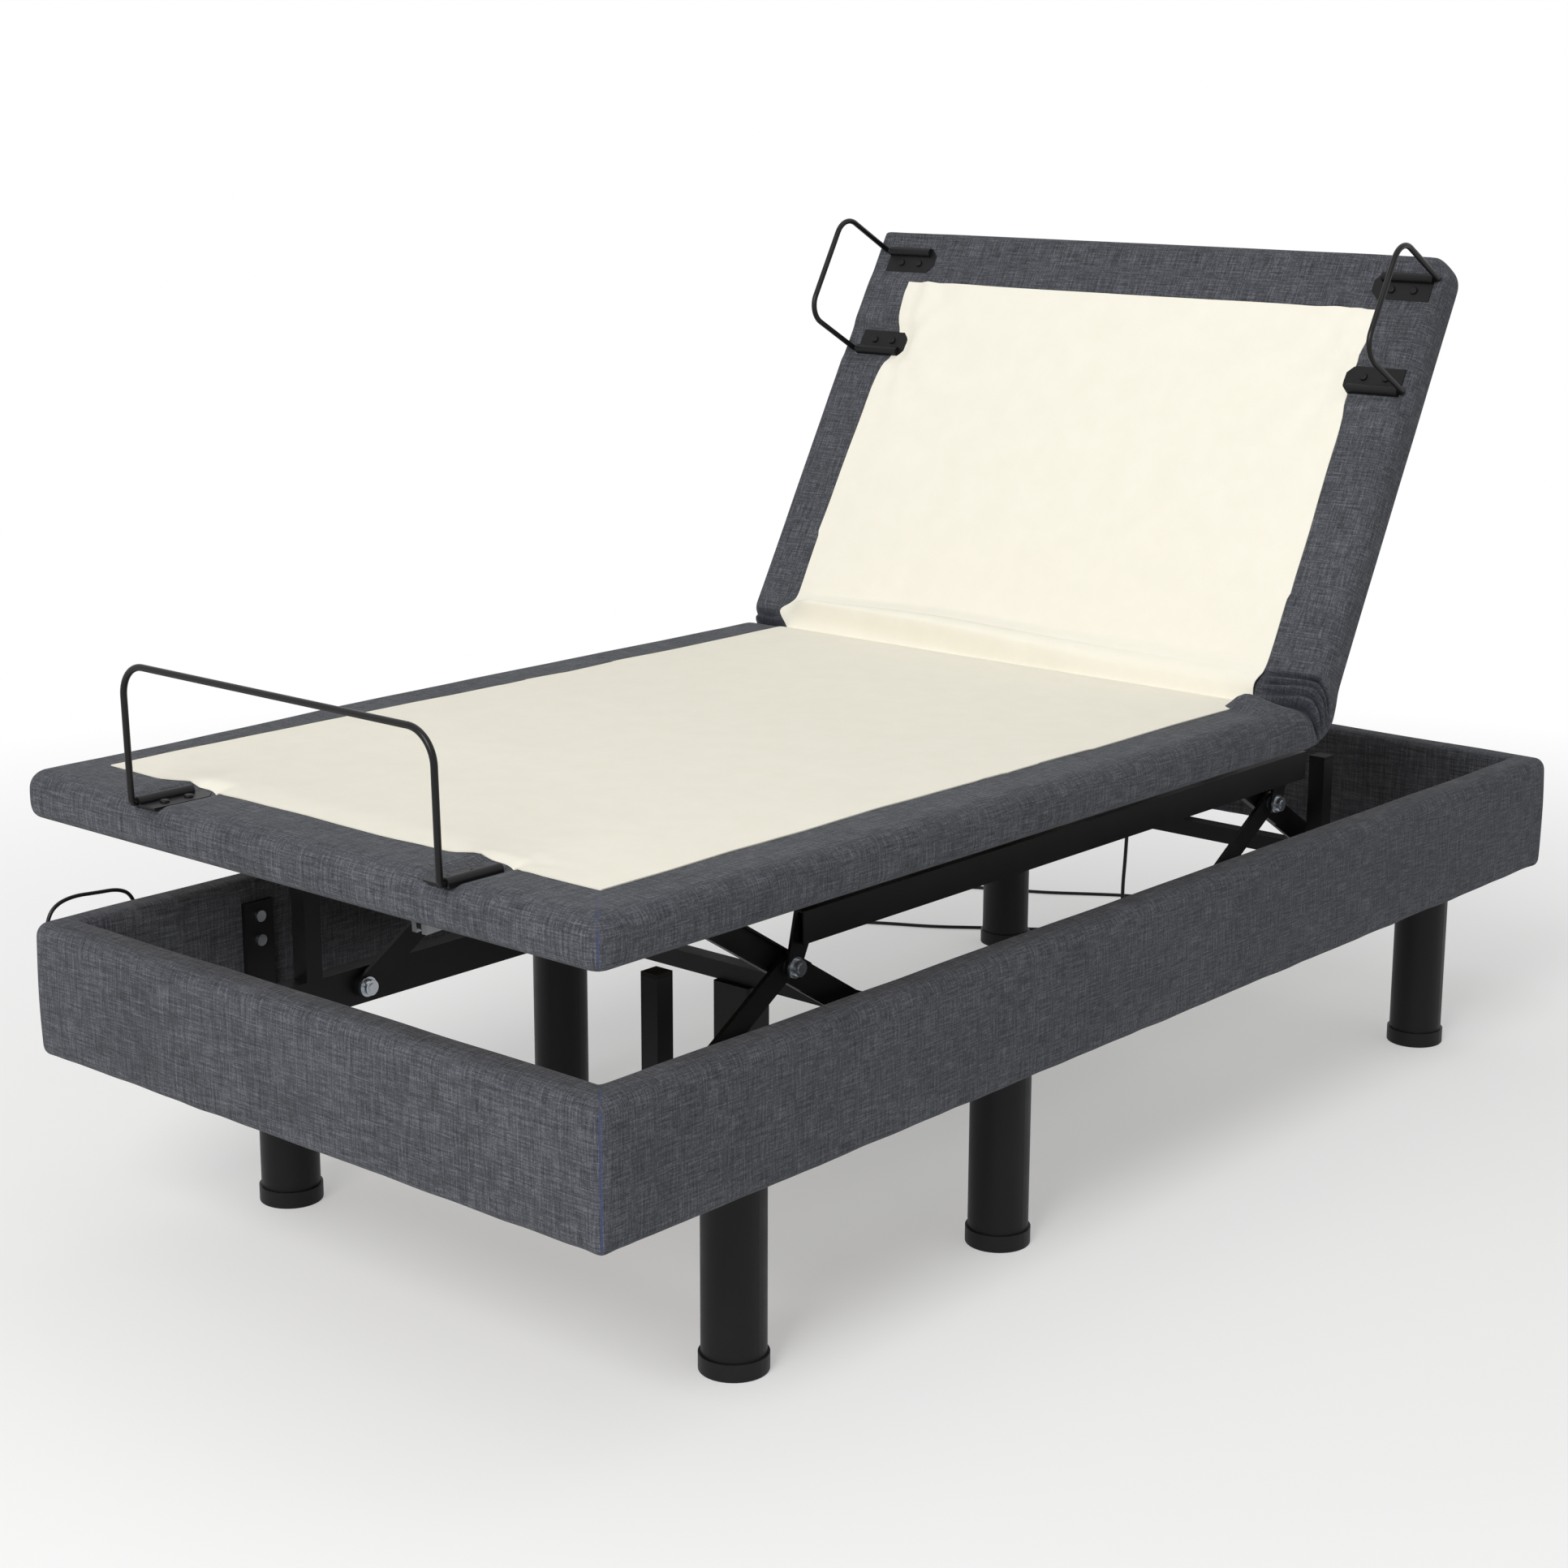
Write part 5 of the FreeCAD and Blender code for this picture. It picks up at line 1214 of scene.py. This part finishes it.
        # painted shade along the hinge valley, added to the painted shade in the creases
        border = rise(np.abs(x), np.where(x > 0, *self.painted_shade_starts), self.start_run)
        valley = Hump(1.0, self.form.hinge, np.where(x > 0, *self.painted_shade_reach)).at(s)
        valley = valley * np.clip(h / self.form.thick, 0.0, 1.0) ** 2
        return np.clip(np.maximum(np.sqrt(self.creases(x, s, h)), valley * border), 0.0, 1.0)

    def settle(self, cover: Object) -> None:
        """Ride the finished cover on its one body, or bake its transform where it spans two bodies.

        Args:
            cover: the finished cover.
        """
        place_on_bodies(cover, self.bodies, self.form)
        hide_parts(*self.nodes)


@dataclass
class DeckFelt:
    """The cream felt over part of the deck, a thin sheet sewn inside the linen border."""

    name: str
    start: float
    end: float
    bodies: tuple[str, ...]
    rests_on: tuple[str, ...]
    form: DeckForm
    thickness: float = 1.3 * MM
    columns: int = 100
    lift: float = 0.2 * MM           # above the linen's form
    clamp_drop: float = 0.8 * MM
    edge_bow: float = 3.0 * MM
    left_out: float = 6.0 * MM       # how much wider the left half is cut
    side_wave: Wave = Wave(2.2 * MM, 9.0, 1.0, 4.2)
    foot_wave: Wave = Wave(3.0 * MM, 8.0, 1.0, 8.8)
    jogs: tuple[Pair, ...] = (       # place along and size of the small steps in the long edges
        (-0.302, -2.4 * MM), (-0.254, 2.2 * MM), (-0.187, -2.0 * MM), (-0.082, 2.6 * MM), (0.520, 3.0 * MM))
    fine_rows: tuple[Pair, ...] = ((0.065, 2.0 * MM), (0.10, 4.0 * MM))   # distance from the roll, step
    plain_row: float = 8.5 * MM
    roll_middle: float = 0.02        # from the hinge, as the places below are
    roll: float = 19.0 * MM
    roll_front: Ramp = Ramp(-0.004, 0.026)
    roll_fall: float = 42.0 * MM     # length of the roll's back
    roll_far: Ramp = Ramp(-0.43, 0.05)     # across, where the roll sets in
    roll_near: Ramp = Ramp(-0.42, 0.62)    # and falls
    roll_least: float = 0.30               # to this share
    lip: float = 18.0 * MM           # how much further up the roll starts at the far side
    lip_drop: float = 4.0 * MM
    lip_fall: Ramp = Ramp(-0.22, 0.60)
    tall: float = 30.0 * MM          # length of the roll's crown
    taller: float = 14.0 * MM
    tall_rise: Ramp = Ramp(-0.40, 0.3)
    sway: float = 5.0 * MM
    groove_gap: float = 44.0 * MM
    groove_fade: Ramp = Ramp(-0.40, 0.08)
    back_zone: Ramp = Ramp(0.07, 0.05)
    drape_fade: Ramp = Ramp(-0.385, 0.080)
    groove: Hump = Hump(-2.5 * MM, 0.0, 16.0 * MM)
    drape: Wave = Wave(3.0 * MM, 1.0, 1.0, 6.1)
    slack_wave: Wave = Wave(0.5 * MM, 6.0, 8.0, 2.9)
    pull: float = 2.0 * MM
    pull_start: Ramp = Ramp(0.0, 0.03)    # from the clamp
    pull_fade: float = 0.14
    clamp_edge: float = 0.381
    clamp_places: Pair = (0.504, 0.644)   # along, from the hinge
    hinge_slack: float = 12.0 * MM

    def side_edge(self, s: Array, side: float) -> Array:
        """Where the felt's long edge lies, in from each clamp and a little uneven.

        Args:
            s: lengthwise places on the flat deck.
            side: 1 on the right and -1 on the left.

        Returns:
            The distance from the middle line for each place.
        """
        base = self.form.felt_half + self.edge_bow * np.sin(s * 4.7 + side) + self.left_out * (side < 0)
        jogs = sum(step * rise(s, place, 5.0 * MM) * np.exp(-np.abs(s - place) / 0.05)
                   for place, step in self.jogs)
        uneven = self.side_wave.at(s, np.full(s.shape, side * 3.0))
        return base + uneven + jogs - self.form.side_inset(s, side)

    def foot_edge(self, x: Array) -> Array:
        """Where the felt's foot edge lies, curving in round the two clamps."""
        return self.form.felt_foot + self.foot_wave.at(x, np.zeros_like(x)) + self.form.foot_curve(x)

    def rows(self) -> Array:
        """Crosswise lines, closer together near the back hinge.

        Returns:
            The lengthwise places in rising order.
        """
        made, place = [self.start], self.start
        while place < self.end:
            near = abs(place - (self.form.hinge + self.roll_middle))
            place += next((step for reach, step in self.fine_rows if near < reach), self.plain_row)
            made.append(place)
        made[-1] = self.end
        if made[-1] - made[-2] < 1.0 * MM:
            made.pop(-2)
        return np.array(made)

    def build(self, finishes: Finishes) -> Object:
        """Lay the felt flat, give it edges and folds, then bend it into place.

        Args:
            finishes: the object's materials.

        Returns:
            The finished felt.
        """
        form, along = self.form, self.rows()
        bpy.ops.object.select_all(action="DESELECT")
        bpy.ops.mesh.primitive_grid_add(x_subdivisions=self.columns, y_subdivisions=len(along) - 1, size=2.0)
        felt = bpy.context.object
        felt.name = self.name
        grid = points_of(felt)
        s = along[np.rint((grid[:, 1] + 1.0) / 2.0 * (len(along) - 1)).astype(int)]
        x = grid[:, 0] * np.where(grid[:, 0] > 0, self.side_edge(s, 1.0), self.side_edge(s, -1.0))
        if self.start <= form.felt_foot:
            foot = self.foot_edge(x)
            s = foot + (s - self.start) * (self.end - foot) / (self.end - self.start)
        keep(felt, "cloth_place", np.stack([x, s, np.zeros_like(x)], axis=1))
        top = form.thick + form.swell(x, s) - form.dip(x, s) + self.folds(x, s) + self.lift
        top -= self.clamp_drop * rise(1.0 - form.clamp_gap(x, s) / (9.0 * MM))
        put_points(felt, form.bend(x, s, top))
        only(felt)
        bpy.ops.object.mode_set(mode="EDIT")
        bpy.ops.mesh.select_all(action="SELECT")
        bpy.ops.mesh.normals_make_consistent(inside=False)
        bpy.ops.object.mode_set(mode="OBJECT")
        if felt.data.polygons[0].normal.z < 0:
            felt.data.flip_normals()
        finish_mesh(felt, 50.0, "SOLIDIFY", thickness=self.thickness, offset=1.0, use_even_offset=False)
        finishes.dress(felt, "deck_felt")
        LOG.info("felt %s: %d faces", self.name, len(felt.data.polygons))
        return felt

    def folds(self, x: Array, s: Array) -> Array:
        """Slack of the felt: the roll at the back hinge and soft pulls on the back panel.

        Args:
            x: flat places across.
            s: flat places along.

        Returns:
            Heights above the padded top.
        """
        form = self.form
        off = s - form.hinge
        reach = self.roll_far.at(x) * (self.roll_least + (1.0 - self.roll_least) * self.roll_near.at(-x))
        sway = self.sway * np.sin(x * 5.0 + 0.6)
        past_lip = off - (self.lip * self.lip_fall.at(-x) - self.lip_drop)
        tall = self.tall + self.taller * self.tall_rise.at(x)
        back = 1.0 - np.clip((past_lip - tall - sway) / self.roll_fall, 0.0, 1.0)
        back = rise(back) * 0.5 + back * 0.5
        crown = 1.0 - 0.18 * ((past_lip - 0.4 * tall) / (0.5 * tall)) ** 2 * (past_lip > -0.002)
        roll = self.roll * self.roll_front.at(past_lip) * back * reach * np.clip(crown, 0.5, 1.0)
        groove = self.groove.at(past_lip - tall - self.groove_gap - sway) * reach
        groove = groove * self.groove_fade.at(-np.abs(x))
        on_back = self.back_zone.at(off)
        inner = self.drape_fade.at(-np.abs(x)) * rise(-s, -form.felt_head, self.drape_fade.run)
        drape = on_back * inner * self.drape.at(x * 2.6 + s * 1.6, s * 8.0 - x * 1.6)
        pull = np.zeros_like(x)
        for side, place in ((side, place) for place in self.clamp_places for side in (-1.0, 1.0)):
            dx, ds = self.clamp_edge - side * x, off - place
            dist = np.hypot(dx, ds)
            fan = np.cos(np.arctan2(ds, np.maximum(dx, 1.0 * MM)) * 9.0 + side * 0.7)
            near = np.exp(-dist / self.pull_fade) * self.pull_start.at(dist) * (dx > 0)
            pull += self.pull * (1.0 + fan) * near
        return roll + groove + drape + pull + (1.0 - on_back) * self.slack_wave.at(x, s)

    def flat_length(self) -> float:
        """Length of the felt laid flat; round the inner corner of the back hinge it is cut shorter.

        Returns:
            The length in metres.
        """
        form = self.form
        length = self.end - max(self.start, form.felt_foot)
        if self.start < form.hinge < self.end:
            length += self.hinge_slack - 2.0 * form.thick * math.tan(form.angle / 2.0)
        return length

    def settle(self, felt: Object) -> None:
        """Args:
            felt: the finished felt.
        """
        place_on_bodies(felt, self.bodies, self.form)
        self.flat_length()
        list(self.rests_on)


FLAT_HINGES = {frozenset(("calf", "thigh")): -0.300, frozenset(("thigh", "deck_chassis")): 0.060}


def place_on_bodies(piece: Object, bodies: tuple[str, ...], form: DeckForm) -> None:
    """Ride a piece on one body; a piece between two bodies across a hinge only has its transform baked into
    its mesh.

    Args:
        piece: the object to place.
        bodies: one body, or the two on either side of a hinge.
        form: the deck's flat form.
    """
    if len(bodies) == 1:
        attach(piece, bodies[0])
        return
    at_back = "back" in bodies
    pivot = Vector((0.0, form.hinge if at_back else FLAT_HINGES[frozenset(bodies)], form.bottom))
    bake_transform(piece)


# ------------------------------------------------------------------ surround
@dataclass
class Surround:
    """The linen-covered box of four rails round the lower frame."""

    halves: Pair = (HALF_WIDTH, HALF_LENGTH)
    bottom: float = 0.253
    height: float = 0.169
    wall: float = 46.0 * MM
    corner: float = 14.0 * MM
    outer_top_radius: float = 18.0 * MM
    outer_low_radius: float = 12.0 * MM
    inner_top_radius: float = 11.0 * MM
    inner_low_radius: float = 8.0 * MM
    edge_cuts: tuple[float, ...] = (2.5, 6, 10, 14, 18, 24, 30, 35, 39, 43, 46, 52, 60)
    plain_from: float = 72.0 * MM
    plain_step: float = 24.0 * MM
    height_cuts: tuple[float, ...] = (2, 5, 9, 14, 30, 55, 80, 105, 130, 147, 153, 158, 163, 166.5)
    belly: float = 1.4 * MM
    side_wave: Wave = Wave(1.1 * MM, 4.0, 14.0, 1.7)
    end_wave: Wave = Wave(1.1 * MM, 4.0, 14.0, 6.3)
    side_shift: float = 9.0 / 4.0    # keeps the waves of opposite rails from being alike
    end_shift: float = 5.0 / 4.0
    hem: Wave = Wave(1.8 * MM, 30.0, 3.0, 8.1)
    crown: Wave = Wave(0.9 * MM, 9.0, 1.0, 3.3)

    def build(self, finishes: Finishes) -> None:
        """Args:
            finishes: the object's materials.
        """
        bpy.ops.object.select_all(action="DESELECT")
        bpy.ops.mesh.primitive_plane_add(size=2.0, location=(0.0, 0.0, self.bottom))
        ring = bpy.context.object
        ring.name = "surround_upholstery"
        only(ring)
        ring.scale = (*self.halves, 1.0)
        bpy.ops.object.transform_apply(location=True, rotation=True, scale=True)
        bpy.ops.object.mode_set(mode="EDIT")
        bpy.ops.mesh.select_all(action="SELECT")
        bpy.ops.mesh.inset(thickness=self.wall, use_even_offset=True)
        bpy.ops.mesh.delete(type="FACE")
        bpy.ops.mesh.select_all(action="SELECT")
        bpy.ops.mesh.extrude_region_move(TRANSFORM_OT_translate={"value": (0.0, 0.0, self.height)})
        for axis, half in enumerate(self.halves):
            steps = np.arange(0.0, half - self.plain_from, self.plain_step)
            right = [half - d * MM for d in self.edge_cuts] + [float(v) for v in steps if v > 0]
            cut_planes(axis, [-v for v in right] + right + [0.0])
        cut_planes(2, [self.bottom + d * MM for d in self.height_cuts])
        weld()
        bpy.ops.object.mode_set(mode="OBJECT")
        flat = points_of(ring)
        keep(ring, "cloth_place", flat)
        put_points(ring, self.soften(flat, self.rounded(flat)))
        finish_mesh(ring, 60.0, "SUBSURF", levels=1, render_levels=1)
        finishes.dress(ring, "linen_fabric")
        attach(ring, "base")
        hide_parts("side_rail_covers", "end_rail_covers")
        LOG.info("surround: %d faces", len(ring.data.polygons))

    def rounded(self, flat: Array) -> Array:
        """Round the rails' long edges and the ring's upright corners.

        Args:
            flat: sharp places.

        Returns:
            Rounded places.
        """
        x, y, z = np.abs(flat[:, 0]), np.abs(flat[:, 1]), flat[:, 2]
        depth = np.clip(np.minimum(self.halves[0] - x, self.halves[1] - y), 0.0, self.wall)
        depth, below = round_edge(depth, self.bottom + self.height - z, self.outer_top_radius)
        inner, below = round_edge(self.wall - depth, below, self.inner_top_radius)
        depth, above = round_edge(self.wall - inner, self.height - below, self.outer_low_radius)
        inner, above = round_edge(self.wall - depth, above, self.inner_low_radius)
        new_x, new_y, _, _ = lay_out(x, y, self.wall - inner, self.halves, self.corner)
        way_x, way_y = np.sign(flat[:, 0]), np.sign(flat[:, 1])
        return np.stack([new_x * way_x, new_y * way_y, self.bottom + above], axis=1)

    def soften(self, flat: Array, made: Array) -> Array:
        """Crown the outer faces a little and let the lower hem run slightly uneven.

        Args:
            flat: sharp places.
            made: rounded places.

        Returns:
            Softened places.
        """
        x, y, z = flat.T
        up = np.clip((z - self.bottom) / self.height, 0.0, 1.0)
        belly = self.belly * np.sin(np.pi * up)
        rows = ((x, y, self.side_wave, self.side_shift), (y, x, self.end_wave, self.end_shift))
        for axis, (out, other, wave, shift) in enumerate(rows):
            outer = rise(np.abs(out) - self.halves[axis], -12.0 * MM, 12.0 * MM)
            made[:, axis] += np.sign(out) * outer * (belly + wave.at(other + np.sign(out) * shift, z))
        made[:, 2] += rise(1.0 - up / 0.10) * self.hem.at(x + y, y - x)
        made[:, 2] += rise(up, 0.9, 0.1) * self.crown.at(x + y, x - y)
        return made


# ------------------------------------------------------------------ the object
@dataclass
class BedBase:
    """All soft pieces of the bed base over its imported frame."""

    form: DeckForm = field(default_factory=DeckForm)
    mid_thigh: float = -0.120    # where one deck cover meets the next
    mid_seat: float = 0.198

    def build(self, finishes: Finishes) -> None:
        """Make every piece in order.

        Args:
            finishes: the object's materials.
        """
        Cord("mains_lead", MAINS_ROUTE + MainsCoil().points(), 6.0 * MM, 2.55, "plug",
             ("mains_cord", "mains_cord_coil"), ("mains_plug",)).build(finishes)
        Cord("service_lead", SERVICE_ROUTE, 5.0 * MM, 0.1685, "object", ("service_cable",)).build(finishes)
        Surround().build(finishes)
        spans = (
            ("foot", -HALF_LENGTH, self.mid_thigh, ("calf_cover", "thigh_cover"), ("calf", "thigh")),
            ("seat", self.mid_thigh, self.mid_seat, (), ("thigh", "deck_chassis")),
            ("back", self.mid_seat, HALF_LENGTH, ("back_cover", "seat_cover"), ("deck_chassis", "back")),
        )
        for part, start, end, nodes, bodies in spans:
            cover = DeckCover(f"{part}_linen_cover", start, end, nodes, bodies, self.form)
            cover.settle(cover.build(finishes))
            start, end = max(start, self.form.felt_foot), min(end, self.form.felt_head)
            felt = DeckFelt(f"{part}_deck_felt", start, end, bodies, (f"{part}_linen_cover",), self.form)
            felt.settle(felt.build(finishes))


def main() -> None:
    """Build the studio, the finishes and the bed base."""
    logging.basicConfig(level=logging.INFO, format="%(name)s: %(message)s")
    Studio().build()
    finishes = Finishes().build()
    finishes.dress_cad()
    BedBase().build(finishes)


if __name__ == "__main__":
    main()
